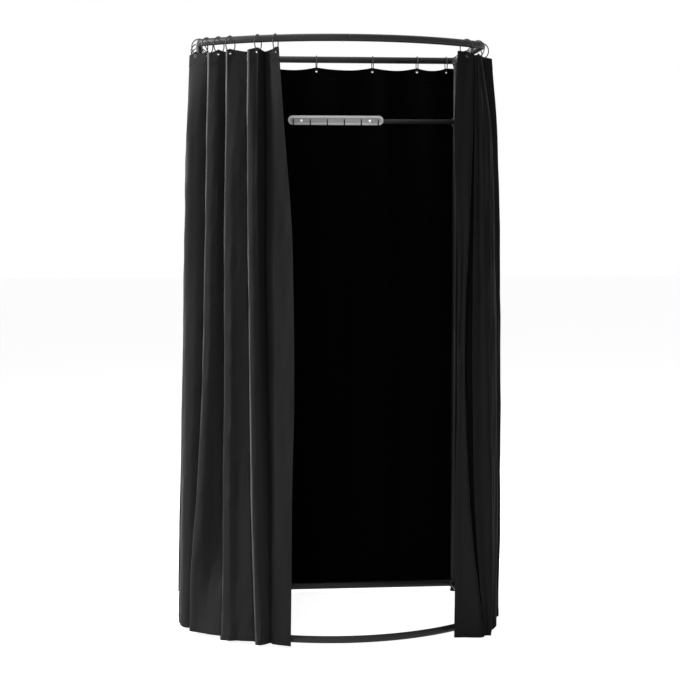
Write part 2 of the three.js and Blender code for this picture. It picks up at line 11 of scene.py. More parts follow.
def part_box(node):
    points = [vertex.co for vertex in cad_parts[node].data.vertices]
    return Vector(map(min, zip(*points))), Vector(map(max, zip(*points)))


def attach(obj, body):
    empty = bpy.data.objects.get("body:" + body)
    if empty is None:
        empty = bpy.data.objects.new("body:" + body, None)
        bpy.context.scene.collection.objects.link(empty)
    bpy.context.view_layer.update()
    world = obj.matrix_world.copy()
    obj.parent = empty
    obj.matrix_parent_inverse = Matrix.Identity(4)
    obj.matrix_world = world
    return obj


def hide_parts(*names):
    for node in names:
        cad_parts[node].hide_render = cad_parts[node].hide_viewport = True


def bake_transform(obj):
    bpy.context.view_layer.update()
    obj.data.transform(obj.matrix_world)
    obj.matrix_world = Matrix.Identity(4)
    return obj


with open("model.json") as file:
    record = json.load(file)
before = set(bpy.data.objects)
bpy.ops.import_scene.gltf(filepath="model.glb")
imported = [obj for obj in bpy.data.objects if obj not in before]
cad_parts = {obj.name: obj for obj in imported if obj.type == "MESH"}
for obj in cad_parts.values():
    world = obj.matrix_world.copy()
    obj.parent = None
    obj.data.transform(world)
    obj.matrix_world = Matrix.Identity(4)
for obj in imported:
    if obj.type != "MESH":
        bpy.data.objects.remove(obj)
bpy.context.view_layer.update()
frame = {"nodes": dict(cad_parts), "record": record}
scene = bpy.context.scene
mm = 0.001
overcut = 9 * mm  # how far a cutter stands out of what it cuts
bodyOf = {
    node: body
    for body, nodes in frame["record"]["behaviour"]["bodies"].items()
    for node in nodes
}
print("frame loaded:", len(bodyOf), "nodes")


def centreOf(node):
    low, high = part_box(node)
    return (low + high) / 2


# A solid's reach along one axis of its box
def span(node, axis):
    return [corner["xyz".index(axis)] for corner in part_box(node)]


# Sizes of the tubes, and the plan that they follow, in metres
tube = {"radius": 12.7 * mm, "wall": 1.5 * mm, "sides": 48}
plan = {"bowRadius": 700 * mm, "cornerRadius": 75 * mm}
inner = plan["bowRadius"] - plan["cornerRadius"]
plan["halfWidth"], plan["rearY"] = centreOf("right_lower_post").xy
plan["apexY"] = span("top_left_rail", "y")[0] + tube["radius"]
plan["baseZ"] = centreOf("base_rear_rail").z
plan["topZ"] = centreOf("top_rear_rail").z
plan["turn"] = math.asin((plan["halfWidth"] - plan["cornerRadius"]) / inner)
plan["bow"] = plan["bowRadius"] * plan["turn"]
plan["corner"] = plan["cornerRadius"] * (math.pi / 2 - plan["turn"])
plan["cornerY"] = plan["bowRadius"] - inner * math.cos(plan["turn"])
sideEnd = span("top_right_rail", "y")[1]
plan["half"] = plan["bow"] + plan["corner"] + sideEnd - plan["apexY"] - plan["cornerY"]


# How far the front rail has turned, by distance from the bow's middle
def turnAt(run):
    past = np.maximum(run - plan["bow"], 0)
    cornerTurn = np.minimum(plan["turn"] + past / plan["cornerRadius"], math.pi / 2)
    return np.where(run <= plan["bow"], run / plan["bowRadius"], cornerTurn)


# The front rail's plan line, by distance from the bow's middle and stand outside the line
def frontLine(distance, stand):
    distance = np.asarray(distance, float)
    side = np.where(distance < 0, -1.0, 1.0)
    run = np.abs(distance)
    turn = turnAt(run)
    across, along = np.sin(turn), np.cos(turn)
    straight = np.maximum(run - plan["bow"] - plan["corner"], 0)
    cornerX = plan["halfWidth"] - plan["cornerRadius"] * (1 - across)
    cornerY = plan["cornerY"] - plan["cornerRadius"] * along + straight
    onBow = run <= plan["bow"]
    x = np.where(onBow, plan["bowRadius"] * across, cornerX) + stand * across
    y = np.where(onBow, plan["bowRadius"] * (1 - along), cornerY) - stand * along
    return side * x, y + plan["apexY"]


# The rear rail's, by distance from its middle, positive to the left
def rearLine(distance, stand):
    distance = np.asarray(distance, float)
    return -distance, plan["rearY"] + stand + 0 * distance


def newObject(name, data):
    made = bpy.data.objects.new(name, data)
    scene.collection.objects.link(made)
    return made


# Adds nodes to a material's, world's or geometry tree. Their inputs come in order or by name,
# as plain values or as other nodes' outputs
class NodeBuilder:
    prefix = "ShaderNode"  # goes before a kind that isn't written out in full

    def __init__(self, tree):
        self.tree = tree

    def feed(self, node, *inOrder, **named):
        for label, value in (*enumerate(inOrder), *named.items()):
            socket = node.inputs[label if isinstance(label, int) else label.replace("_", " ")]
            if isinstance(value, bpy.types.NodeSocket):
                self.tree.links.new(value, socket)
            else:
                socket.default_value = value
        return node

    def add(self, kind, *inOrder, settings=None, **named):
        node = self.tree.nodes.new(kind if "Node" in kind else self.prefix + kind)
        for key, value in (settings or {}).items():
            setattr(node, key, value)
        return self.feed(node, *inOrder, **named)

    def maths(self, operation, *values, clamp=False):
        settings = {"operation": operation, "use_clamp": clamp}
        return self.add("ShaderNodeMath", *values, settings=settings).outputs[0]

    def spread(self, value, low, high):
        return self.add("MapRange", Value=value, To_Min=low, To_Max=high).outputs["Result"]

    def mixed(self, share, first, second):
        node = self.add("Mix", settings={"data_type": "RGBA"}, Factor=share)
        colours = [(*c, 1) if isinstance(c, tuple) else c for c in (first, second)]
        return self.feed(node, A=colours[0], B=colours[1]).outputs["Result"]

    def noise(self, scale, detail, stretch=(1, 1, 1)):
        place = self.add("TexCoord").outputs["Object"]
        mapping = self.add("Mapping", Vector=place, Scale=stretch).outputs["Vector"]
        return self.add("TexNoise", Vector=mapping, Scale=scale, Detail=detail).outputs["Fac"]

    def bumped(self, shader, height, strength, distance):
        bump = self.add("Bump", Strength=strength, Distance=distance, Height=height)
        self.feed(shader, Normal=bump.outputs["Normal"])

    # 1 for the camera, mirrors and clear plastic, so that they see a white room
    def whiteForSight(self):
        path = self.add("LightPath").outputs
        mirrored = self.maths("MAXIMUM", path["Is Camera Ray"], path["Is Glossy Ray"])
        return self.maths("MAXIMUM", mirrored, path["Is Transmission Ray"])


def newFinish(name, colour, roughness, metallic=0.0, specular=0.5):
    material = bpy.data.materials.new(name)
    material.use_nodes = True
    build = NodeBuilder(material.node_tree)
    shader = build.feed(
        material.node_tree.nodes["Principled BSDF"],
        Base_Color=(*colour, 1),
        Roughness=roughness,
        Metallic=metallic,
        Specular_IOR_Level=specular,
    )
    return material, build, shader


# Camera, light and floor
view = {
    "beforeBow": 5.319,
    "aside": -0.512,
    "height": 1.533,
    "tilt": 85.235,
    "turn": -5.2,
    "sensor": 36,
    "focalPixels": 1550,
    "framePixels": 680,
}
studio = {
    "worldLevel": 0.07,
    "whiteLevel": 1.0,
    "lamps": {
        "leftSoftbox": {"place": (-3.4, 0.0, 2.9), "size": (1.0, 2.0), "power": 225},
        "frontSoftbox": {"place": (-1.0, -5.1, 2.6), "size": (2.0, 2.0), "power": 62},
        "rightSoftbox": {"place": (3.2, 2.9, 2.2), "size": (1.2, 2.4), "power": 32},
        "rearSoftbox": {"place": (-2.4, 4.0, 2.6), "size": (1.2, 2.0), "power": 90},
        "topSoftbox": {"place": (-0.6, 0.2, 4.6), "size": (2.2, 2.2), "power": 45},
    },
    "aim": (0, 0, 1.1),
    "floorSize": 60,
    "floorColour": (0.80, 0.80, 0.80),
    "floorRoughness": 0.9,
    "floorSpecular": 0.1,
    "floorGlow": 0.88,
}


def makeCamera():
    data = bpy.data.cameras.new("camera")
    data.sensor_width = view["sensor"]
    data.lens = view["sensor"] * view["focalPixels"] / view["framePixels"]
    camera = newObject("camera", data)
    camera.location = (view["aside"], plan["apexY"] - view["beforeBow"], view["height"])
    camera.rotation_euler = Euler((math.radians(view["tilt"]), 0, math.radians(view["turn"])))
    scene.camera = camera


def makeStudio():
    world = bpy.data.worlds.new("world")
    scene.world = world
    world.use_nodes = True
    build = NodeBuilder(world.node_tree)
    strength = build.spread(build.whiteForSight(), studio["worldLevel"], studio["whiteLevel"])
    build.feed(world.node_tree.nodes["Background"], Color=(1, 1, 1, 1), Strength=strength)

    for name, lamp in studio["lamps"].items():
        data = bpy.data.lights.new(name, "AREA")
        data.shape = "RECTANGLE"
        data.size, data.size_y = lamp["size"]
        data.energy = lamp["power"]
        light = newObject(name, data)
        light.location = lamp["place"]
        toward = Vector(studio["aim"]) - Vector(lamp["place"])
        light.rotation_euler = toward.to_track_quat("-Z", "Y").to_euler()

    half = studio["floorSize"] / 2
    mesh = bpy.data.meshes.new("floor")
    corners = [(-half, -half, 0), (half, -half, 0), (half, half, 0), (-half, half, 0)]
    mesh.from_pydata(corners, [], [(0, 1, 2, 3)])
    material, build, shader = newFinish(
        "paleFloor", studio["floorColour"], studio["floorRoughness"], 0, studio["floorSpecular"]
    )
    glow = build.maths("MULTIPLY", build.whiteForSight(), studio["floorGlow"])
    build.feed(shader, Emission_Color=(1, 1, 1, 1), Emission_Strength=glow)
    mesh.materials.append(material)
    newObject("floor", mesh)


makeCamera()
makeStudio()
scene.view_settings.view_transform = "Standard"
print("camera, lamps and floor are in place")


# Finishes: one material for each slot. In these five, patches change the colour and the gloss,
# and a fine grain makes the bump. A noise is its scale, its detail and its stretch, if it has one,
# and a bump its strength and its depth. The plain colour is the patches' first one, but for steel
finishLooks = {
    # Semi-gloss powder coat: fine orange peel, and a little dust that dulls it in places
    "black_paint": {
        "name": "semiGlossBlackCoat",
        "patchColours": ((0.016, 0.016, 0.017), (0.024, 0.024, 0.025)),
        "roughness": 0.38,
        "range": (0.38, 0.50),
        "specular": 0.22,
        "patches": (9, 4),
        "grain": (900, 2),
        "bump": (0.12, 0.0003),
    },
    "black_wire": {
        "name": "blackenedWire",
        "patchColours": ((0.013, 0.013, 0.014), (0.030, 0.030, 0.031)),
        "roughness": 0.40,
        "range": (0.34, 0.54),
        "metallic": 0.2,
        "specular": 0.3,
        "patches": (160, 5),
        "grain": (1400, 2, (1, 1, 0.3)),
        "bump": (0.15, 0.0002),
    },
    "black_plastic": {
        "name": "blackNylon",
        "patchColours": ((0.016, 0.016, 0.017), (0.023, 0.023, 0.024)),
        "roughness": 0.5,
        "grainRange": (0.42, 0.60),  # the moulded grain changes the gloss, not the patches
        "patches": (18, 2),
        "grain": (420, 3),
        "bump": (0.25, 0.0004),
    },
    "black_rubber": {
        "name": "matteRubber",
        "patchColours": ((0.012, 0.012, 0.012), (0.030, 0.029, 0.028)),
        "roughness": 0.82,
        "specular": 0.3,
        "patches": (60, 5),
        "grain": (700, 3),
        "bump": (0.3, 0.0004),
    },
    "steel": {
        "name": "zincPlatedSteel",
        "colour": (0.74, 0.74, 0.75),
        "patchColours": ((0.60, 0.60, 0.61), (0.74, 0.74, 0.75)),
        "roughness": 0.44,
        "range": (0.36, 0.52),
        "metallic": 1.0,
        "patches": (130, 4),
        "grain": (1200, 2),
        "bump": (0.08, 0.0002),
    },
}


def patchedFinish(look):
    colour = look.get("colour", look["patchColours"][0])
    metallic, specular = look.get("metallic", 0), look.get("specular", 0.5)
    material, build, shader = newFinish(look["name"], colour, look["roughness"], metallic, specular)
    patches, grain = build.noise(*look["patches"]), build.noise(*look["grain"])
    build.feed(shader, Base_Color=build.mixed(patches, *look["patchColours"]))
    for source, key in ((patches, "range"), (grain, "grainRange")):
        if key in look:
            build.feed(shader, Roughness=build.spread(source, *look[key]))
    build.bumped(shader, grain, *look["bump"])
    return material


# Clear acrylic: a frosted rim that gathers the light, and a clearer middle over the bar
acrylic = {
    "colour": (0.93, 0.94, 0.95),
    "roughness": 0.12,
    "range": (0.08, 0.22),
    "patches": (45, 4, (0.3, 1, 1)),
    "rimWidth": 10 * mm,
    "rimFade": 3 * mm,
    "rimAlpha": 0.98,
    "midAlpha": 0.44,
}


def clearAcrylic(middle, half, radius):
    material, build, shader = newFinish("clearAcrylic", acrylic["colour"], acrylic["roughness"])
    place = build.add("TexCoord").outputs["Object"]
    parts = build.add("SeparateXYZ", place).outputs
    along = build.maths("ABSOLUTE", build.maths("SUBTRACT", parts["X"], middle.x))
    along = build.maths("MAXIMUM", build.maths("SUBTRACT", along, half), 0.0)
    across = build.maths("SUBTRACT", parts["Z"], middle.z)
    squares = [build.maths("MULTIPLY", side, side) for side in (along, across)]
    rimStart = radius - acrylic["rimWidth"]
    rim = build.add(
        "MapRange",
        settings={"interpolation_type": "SMOOTHSTEP"},
        Value=build.maths("SQRT", build.maths("ADD", *squares)),
        From_Min=rimStart,
        From_Max=rimStart + acrylic["rimFade"],
        To_Min=acrylic["midAlpha"],
        To_Max=acrylic["rimAlpha"],
    )
    dull = build.spread(build.noise(*acrylic["patches"]), *acrylic["range"])
    build.feed(shader, Alpha=rim.outputs["Result"], Roughness=dull)
    return material


# Woven black polyester: plain weave from the cloth's own UV, in metres, with slubs and a soft sheen.
# Its fold edges get a painted highlight, its valleys painted shade, and its inner face an even painted shade
weave = {
    "colour": (0.022, 0.022, 0.0223),
    "faded": (0.029, 0.029, 0.0294),
    # painted shade for the fold valleys
    "paintedValleyShade": (0.014, 0.014, 0.0142),
    # painted highlight colour for the fold edges
    "paintedEdgeHighlight": (0.15, 0.15, 0.152),
    # painted shade over the whole inner face
    "paintedInnerShade": (0.003, 0.003, 0.0031),
    "roughness": 0.56,
    "range": (0.50, 0.62),
    "sheen": 0.15,
    "sheenRoughness": 0.25,
    "thread": 0.55 * mm,  # the weave repeats every 2 pi of these
    "waveFactor": 20,  # built into the wave texture
    "unevenness": 0.6,
    "slubs": (26, 5, (1, 1, 0.15)),
    "bump": (0.35, 0.00015),
}


def wovenCloth():
    material, build, shader = newFinish("wovenBlackCloth", weave["colour"], weave["roughness"], 0, 0.0)
    build.feed(shader, Sheen_Weight=weave["sheen"], Sheen_Roughness=weave["sheenRoughness"])
    uv = build.add("UVMap", settings={"uv_map": "UVMap"}).outputs["UV"]
    threads = []
    for turn in (0, math.pi / 2):
        mapping = build.add("Mapping", Vector=uv, Rotation=(0, 0, turn)).outputs["Vector"]
        wave = build.add(
            "TexWave",
            Vector=mapping,
            Scale=1 / (weave["thread"] * weave["waveFactor"]),
            Distortion=weave["unevenness"],
            Detail=1,
        )
        threads.append(wave.outputs["Fac"])
    slubs = build.noise(*weave["slubs"])
    woven = build.mixed(slubs, weave["colour"], weave["faded"])
    # The attribute goes from -1 in the valleys of the folds to 1 on their edges: it paints shade into the
    # valleys and a highlight onto the edges
    fold = build.add("Attribute", settings={"attribute_name": "fold"}).outputs["Fac"]
    for side, colour in ((-1, weave["paintedValleyShade"]), (1, weave["paintedEdgeHighlight"])):
        woven = build.mixed(build.maths("MULTIPLY", fold, side, clamp=True), woven, colour)
    # And this one is 1 on the inner face, which gets an even painted shade, 0 on the woven outer one
    inside = build.add("Attribute", settings={"attribute_name": "inside"}).outputs["Fac"]
    woven = build.mixed(inside, woven, weave["paintedInnerShade"])
    build.feed(shader, Base_Color=woven, Roughness=build.spread(slubs, *weave["range"]))
    build.bumped(shader, build.maths("MAXIMUM", *threads), *weave["bump"])
    return material


finishes = {slot: patchedFinish(look) for slot, look in finishLooks.items()}
finishes["black_cloth"] = wovenCloth()
print("finishes:", ", ".join(sorted(finishes)))


# Mesh helpers
def newPiece(name, points, faces, edges=()):
    mesh = bpy.data.meshes.new(name)
    mesh.from_pydata([tuple(p) for p in points], list(edges), faces)
    mesh.update()
    return newObject(name, mesh)


def outwards(piece):
    work = bmesh.new()
    work.from_mesh(piece.data)
    bmesh.ops.remove_doubles(work, verts=work.verts, dist=1e-6)
    bmesh.ops.recalc_face_normals(work, faces=work.faces)
    work.to_mesh(piece.data)
    work.free()
    return piece


def evaluated(piece):
    graph = bpy.context.evaluated_depsgraph_get()
    mesh = bpy.data.meshes.new_from_object(piece.evaluated_get(graph))
    piece.modifiers.clear()
    piece.data = mesh
    return piece


def softEdges(piece, width, angle=40, segments=2):
    bevel = piece.modifiers.new("softEdges", "BEVEL")
    bevel.width = width
    bevel.segments = segments
    bevel.limit_method = "ANGLE"
    bevel.angle_limit = math.radians(angle)
    return evaluated(piece)


def combine(piece, other, operation="DIFFERENCE"):
    step = piece.modifiers.new("combine", "BOOLEAN")
    step.operation = operation
    step.solver = "EXACT"
    step.object = other
    evaluated(piece)
    bpy.data.objects.remove(other)
    return piece


def join(name, *pieces):
    work = bmesh.new()
    for piece in pieces:
        work.from_mesh(piece.data)
    mesh = bpy.data.meshes.new(name)
    work.to_mesh(mesh)
    work.free()
    for piece in pieces:
        bpy.data.objects.remove(piece)
    return newObject(name, mesh)


def moved(piece, matrix):
    piece.data.transform(matrix)
    piece.data.update()
    return piece


# Puts a piece that was made along +Z at a place, turned to point this way
def aimed(piece, place, way):
    turn = way.to_track_quat("Z", "Y").to_matrix().to_4x4()
    return moved(piece, Matrix.Translation(place) @ turn)


# Rounds the corners of a profile that goes round in the plane, by each corner's own radius
def roundedLine(corners, steps=4):
    line = []
    count = len(corners)
    for index, (x, y, radius) in enumerate(corners):
        here = Vector((x, y))
        before = Vector(corners[index - 1][:2]) - here
        after = Vector(corners[(index + 1) % count][:2]) - here
        if radius == 0 or before.length == 0 or after.length == 0:
            line.append((x, y))
            continue
        reach = min(radius, before.length / 2, after.length / 2)
        start, end = here + before.normalized() * reach, here + after.normalized() * reach
        for step in range(steps + 1):
            t = step / steps
            spot = start * (1 - t) ** 2 + here * 2 * t * (1 - t) + end * t ** 2
            line.append((spot.x, spot.y))
    return line


# A turned piece round +Z from a profile of (radius, height, corner radius), on the axis at both ends
def turned(name, profile, sides=48):
    line = roundedLine([(0, profile[0][1], 0), *profile, (0, profile[-1][1], 0)])
    points = [(0, 0, line[0][1])]
    rings = []
    for radius, height in line[1:-1]:
        rings.append(range(len(points), len(points) + sides))
        for side in range(sides):
            angle = 2 * math.pi * side / sides
            points.append((radius * math.cos(angle), radius * math.sin(angle), height))
    last = len(points)
    points.append((0, 0, line[-1][1]))
    faces = []
    for side in range(sides):
        after = (side + 1) % sides
        faces.append((0, rings[0][after], rings[0][side]))
        for lower, upper in zip(rings, rings[1:]):
            faces.append((lower[side], lower[after], upper[after], upper[side]))
        faces.append((rings[-1][side], rings[-1][after], last))
    return outwards(newPiece(name, points, faces))


def rod(name, start, end, radius, rounding=0.0, sides=32):
    start, end = Vector(start), Vector(end)
    piece = turned(name, [(radius, 0, rounding), (radius, (end - start).length, rounding)], sides)
    return aimed(piece, start, end - start)


def block(name, low, high):
    xs, ys, zs = zip(low, high)
    points = [(x, y, z) for x in xs for y in ys for z in zs]
    faces = [(0, 1, 3, 2), (4, 6, 7, 5), (0, 4, 5, 1), (2, 3, 7, 6), (0, 2, 6, 4), (1, 5, 7, 3)]
    return outwards(newPiece(name, points, faces))


def painted(piece, slot, angle=35, finish=None):
    piece.data.polygons.foreach_set("use_smooth", [True] * len(piece.data.polygons))
    piece.data.set_sharp_from_angle(angle=math.radians(angle))
    piece.data.materials.clear()
    piece.data.materials.append(finish or finishes[slot])


# Gives a piece its finish and the body that it rides on, and hides the solids that it stands for
def settle(piece, slot, nodes=(), body=None, **look):
    painted(piece, slot, **look)
    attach(piece, body or bodyOf[nodes[0]])
    if nodes:
        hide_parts(*nodes)


# A Geometry Nodes tree with its sizes as named inputs
class TreeBuilder(NodeBuilder):
    prefix = "GeometryNode"

    def __init__(self, name, **sizes):
        super().__init__(bpy.data.node_groups.new(name, "GeometryNodeTree"))
        self.socket("Geometry", "INPUT", "Geometry")
        for label, value in sizes.items():
            kind = "Int" if isinstance(value, int) else "Float"
            self.socket(label.replace("_", " "), "INPUT", kind).default_value = value
        self.socket("Material", "INPUT", "Material")
        self.socket("Geometry", "OUTPUT", "Geometry")
        self.given = self.add("NodeGroupInput").outputs

    def socket(self, label, way, kind):
        return self.tree.interface.new_socket(label, in_out=way, socket_type=f"NodeSocket{kind}")

    def circle(self, radius, steps):
        sizes = {"Radius": self.given[radius], "Resolution": self.given[steps]}
        return self.add("CurvePrimitiveCircle", **sizes).outputs[0]

    def followed(self, line, section):
        return self.add("CurveToMesh", Curve=line, Profile_Curve=section).outputs[0]

    # Every tree ends the same way: instances made real, smooth faces, and its material
    def finish(self, geometry):
        real = self.add("RealizeInstances", geometry).outputs[0]
        smooth = self.add("SetShadeSmooth", real).outputs[0]
        coat = self.add("SetMaterial", smooth, Material=self.given["Material"])
        self.add("NodeGroupOutput", coat.outputs[0])
        return self.tree


def runTree(piece, tree, values):
    step = piece.modifiers.new(tree.name, "NODES")
    step.node_group = tree
    for item in tree.interface.items_tree:
        if item.item_type == "SOCKET" and item.in_out == "INPUT" and item.name in values:
            step[item.identifier] = values[item.name]
    return evaluated(piece)


# Follows a line of points with a tube that has a wall: the outer face, and the same face pushed
# in and turned round
def tubeTree():
    build = TreeBuilder("hollowTube", Radius=tube["radius"], Wall=tube["wall"], Sides=tube["sides"])
    line = build.add("MeshToCurve", build.given["Geometry"]).outputs[0]
    skin = build.followed(line, build.circle("Radius", "Sides"))
    inward = build.maths("MULTIPLY", build.given["Wall"], -1)
    bore = build.add("ExtrudeMesh", skin, Offset_Scale=inward, Individual=False)
    turnedRound = build.add("FlipFaces", bore.outputs["Mesh"])
    both = build.add("JoinGeometry", skin)
    build.feed(both, turnedRound.outputs[0])
    closed = build.add("MergeByDistance", both.outputs[0], Distance=1e-6)
    return build.finish(closed.outputs[0])


# One closed wire ring at each point, turned about Z by the point's own turn
def ringTree():
    build = TreeBuilder("wireRings", Ring_Radius=29 * mm, Wire_Radius=1.9 * mm, Steps=72, Sides=16)
    facing = (math.pi / 2, 0, math.pi / 2)
    upright = build.add("Transform", build.circle("Ring Radius", "Steps"), Rotation=facing)
    wire = build.followed(upright.outputs[0], build.circle("Wire Radius", "Sides"))
    turn = build.add("InputNamedAttribute", "turn", settings={"data_type": "FLOAT_VECTOR"})
    angles = build.add("FunctionNodeEulerToRotation", turn.outputs[0])
    placed = build.add(
        "InstanceOnPoints",
        Points=build.given["Geometry"],
        Instance=wire,
        Rotation=angles.outputs[0],
    )
    return build.finish(placed.outputs[0])


# Stitches: a short thread at every pitch along a line of points
def stitchTree():
    build = TreeBuilder(
        "stitches", Pitch=3.4 * mm, Length=2.5 * mm, Thread=0.28 * mm, Seed=4, Shortest=0.85, Longest=1.1
    )
    given = build.given
    line = build.add("MeshToCurve", given["Geometry"]).outputs[0]
    points = build.add("CurveToPoints", line, settings={"mode": "LENGTH"}, Length=given["Pitch"])
    thread = build.add(
        "MeshCylinder", Vertices=6, Radius=given["Thread"], Depth=given["Length"]
    )
    size = build.add(
        "FunctionNodeRandomValue",
        settings={"data_type": "FLOAT"},
        Min=given["Shortest"],
        Max=given["Longest"],
        Seed=given["Seed"],
    )
    placed = build.add(
        "InstanceOnPoints",
        Points=points.outputs["Points"],
        Instance=thread.outputs["Mesh"],
        Rotation=points.outputs["Rotation"],
        Scale=size.outputs[1],
    )
    return build.finish(placed.outputs[0])


trees = {"tube": tubeTree(), "ring": ringTree(), "stitch": stitchTree()}
print("node trees:", ", ".join(trees))


def tubeAlong(name, points, radius=tube["radius"], wall=tube["wall"]):
    line = newPiece(name, points, [], [(i, i + 1) for i in range(len(points) - 1)])
    values = {"Radius": radius, "Wall": wall, "Sides": tube["sides"], "Material": finishes["black_paint"]}
    return outwards(runTree(line, trees["tube"], values))


def frontPoints(start, end, height, step=9 * mm):
    start, end = sorted((start, end))
    corners = (plan["bow"], plan["bow"] + plan["corner"])
    marks = [side * mark for side in (1, -1) for mark in corners if start < side * mark < end]
    count = max(2, round((end - start) / step))
    xs, ys = frontLine(np.array(sorted({*np.linspace(start, end, count + 1), *marks})), 0)
    return [(x, y, height) for x, y in zip(xs, ys)]


# Snap buttons: their sizes, and the way that each faces on its joint
button = {
    "radius": 3.5 * mm,
    "proud": 2 * mm,
    "play": 0.5 * mm,
    "dome": 1.4 * mm,
    "domeRound": 1.2 * mm,
    "shoulder": 0.15 * mm,
    "crown": 0.4 * mm,
    "flange": 4.6 * mm,
    "flangeThickness": 1.2 * mm,
    "flangeRound": 0.2 * mm,
    "neckRound": 0.1 * mm,
    "ways": {
        "base_bow": (0, 0, 1),
        "top_bow": (0, 0, -1),
        "left_post": (0, 1, 0),
        "right_post": (0, 1, 0),
    },
}


# Where a button's tip is, the way that it faces, and its length
def buttonSeat(joint):
    low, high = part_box(f"{joint}_snap_button")
    way = Vector(button["ways"][joint])
    tip = (low + high) / 2
    for axis in range(3):
        if way[axis] != 0:
            tip[axis] = high[axis] if way[axis] > 0 else low[axis]
    return tip, way, abs((high - low).dot(way))


def makeButtons():
    for joint in button["ways"]:
        tip, way, tall = buttonSeat(joint)
        tall = max(tall, button["flangeThickness"])
        neck = button["flangeThickness"] - tall
        cap = turned(f"{joint}_button_cap", [
            (button["flange"], -tall, button["flangeRound"]),
            (button["flange"], neck, button["flangeRound"]),
            (button["radius"], neck, button["neckRound"]),
            (button["radius"], -button["dome"], button["domeRound"]),
            (button["radius"] - button["dome"], -button["shoulder"], button["domeRound"]),
            (button["crown"], 0, 0),
        ], 32)
        settle(aimed(cap, tip, way), "steel", [f"{joint}_snap_button"])
        spring = frame["nodes"][f"{joint}_snap_spring"]
        spring.data.materials.clear()
        spring.data.materials.append(finishes["steel"])


# Rails: bowed halves with a spigot in the middle of the bow, and the straight rear rails
rail = {
    "seam": 0.3 * mm,
    "edge": 0.35 * mm,
    "spigotRadius": 10.5 * mm,
    "spigotWall": 2 * mm,
    "spigotLength": 60 * mm,
    "spigotRoot": 12 * mm,
    "levels": {"base": (plan["baseZ"], -1), "top": (plan["topZ"], 1)},  # height, side with the spigot
}


def softTube(name, points, *sizes):
    return softEdges(tubeAlong(name, points, *sizes), rail["edge"])


def withSpigot(shell, points):
    return join("shell", shell, softTube("spigot", points, rail["spigotRadius"], rail["spigotWall"]))


# Opens the snap button's hole in a finished tube
def settleTube(shell, joint, name, node):
    tip, way, _ = buttonSeat(joint)
    start = tip - way * (button["proud"] + tube["radius"])
    combine(shell, rod("cutter", start, tip + way * button["proud"], button["radius"] + button["play"]))
    shell.name = name
    settle(shell, "black_paint", [node])


def makeRails():
    for level, (height, carrier) in rail["levels"].items():
        for side, word in ((-1, "left"), (1, "right")):
            start = 0 if side == carrier else side * rail["seam"]
            shell = softTube("shell", frontPoints(start, side * plan["half"], height))
            if side == carrier:
                ends = side * rail["spigotRoot"], -side * rail["spigotLength"]
                shell = withSpigot(shell, frontPoints(*ends, height))
            settleTube(shell, f"{level}_bow", f"{level}_{word}_bowed_rail", f"{level}_{word}_rail")
        ends = [(x, plan["rearY"], height) for x in span(f"{level}_rear_rail", "x")]
        settle(softTube(f"{level}_rear_tube", ends), "black_paint", [f"{level}_rear_rail"])


def makePosts():
    for word in ("left", "right"):
        x = centreOf(f"{word}_lower_post").x
        low, spigotTop = span(f"{word}_lower_post", "z")
        seam, high = span(f"{word}_upper_post", "z")

        def upright(*heights):
            return [(x, plan["rearY"], height) for height in heights]

        lower = softTube("lower", upright(low, seam - rail["seam"]))
        lower = withSpigot(lower, upright(seam - rail["spigotRoot"], spigotTop))
        for part, shell in (("lower", lower), ("upper", softTube("upper", upright(seam, high)))):
            settleTube(shell, f"{word}_post", f"{word}_{part}_post_tube", f"{word}_{part}_post")


# Corner fittings: a moulded hub with three plugs that the tubes push onto
hub = {
    "radius": 17 * mm,
    "height": 28 * mm,
    "round": 3.2 * mm,
    "plugRadius": 10.4 * mm,
    "plugLength": 60 * mm,
    "plugTip": 2 * mm,
    "dishRadius": 9 * mm,
    "dishDepth": 1.2 * mm,
    "dishRound": 0.4 * mm,
}


def makeCorners():
    half = hub["height"] / 2
    for level, (height, away) in rail["levels"].items():
        for side, word in ((-1, "left"), (1, "right")):
            middle = Vector((side * plan["halfWidth"], plan["rearY"], height))
            body = turned(f"{level}_{word}_corner_fitting", [
                (hub["dishRadius"] - hub["dishDepth"], -half + hub["dishDepth"], hub["dishRound"]),
                (hub["dishRadius"], -half, hub["dishRound"]),
                (hub["radius"], -half, hub["round"]),
                (hub["radius"], half, hub["round"]),
            ])
            if away > 0:
                moved(body, Matrix.Rotation(math.pi, 4, "X"))
            moved(body, Matrix.Translation(middle))
            for way in (Vector((-side, 0, 0)), Vector((0, -1, 0)), Vector((0, 0, -away))):
                end = middle + way * (hub["radius"] + hub["plugLength"])
                combine(body, rod("plug", middle, end, hub["plugRadius"], hub["plugTip"]), "UNION")
            settle(body, "black_plastic", [f"{level}_{word}_corner"])


# Feet: turned rubber pads under the rear corners, and saddles under the bow. Their profiles are
# (radius, share of the height, rounding)
foot = {"grooveSides": 40, "play": 0.4 * mm}
foot["profiles"] = {
    ("rear", "pad"): [
        (11 * mm, 0, 0),
        (14 * mm, 0, 1.6 * mm),
        (13.4 * mm, 0.34, 1.6 * mm),
        (11.4 * mm, 0.5, 1.6 * mm),
        (11 * mm, 1, 0.5 * mm),
    ],
    ("front", "saddle"): [
        (14 * mm, 0, 1.6 * mm),
        (14 * mm, 0.3, 0.5 * mm),
        (13 * mm, 0.36, 0.5 * mm),
        (13 * mm, 0.44, 0.5 * mm),
        (14 * mm, 0.5, 0.5 * mm),
        (14 * mm, 1, 1.6 * mm),
    ],
}


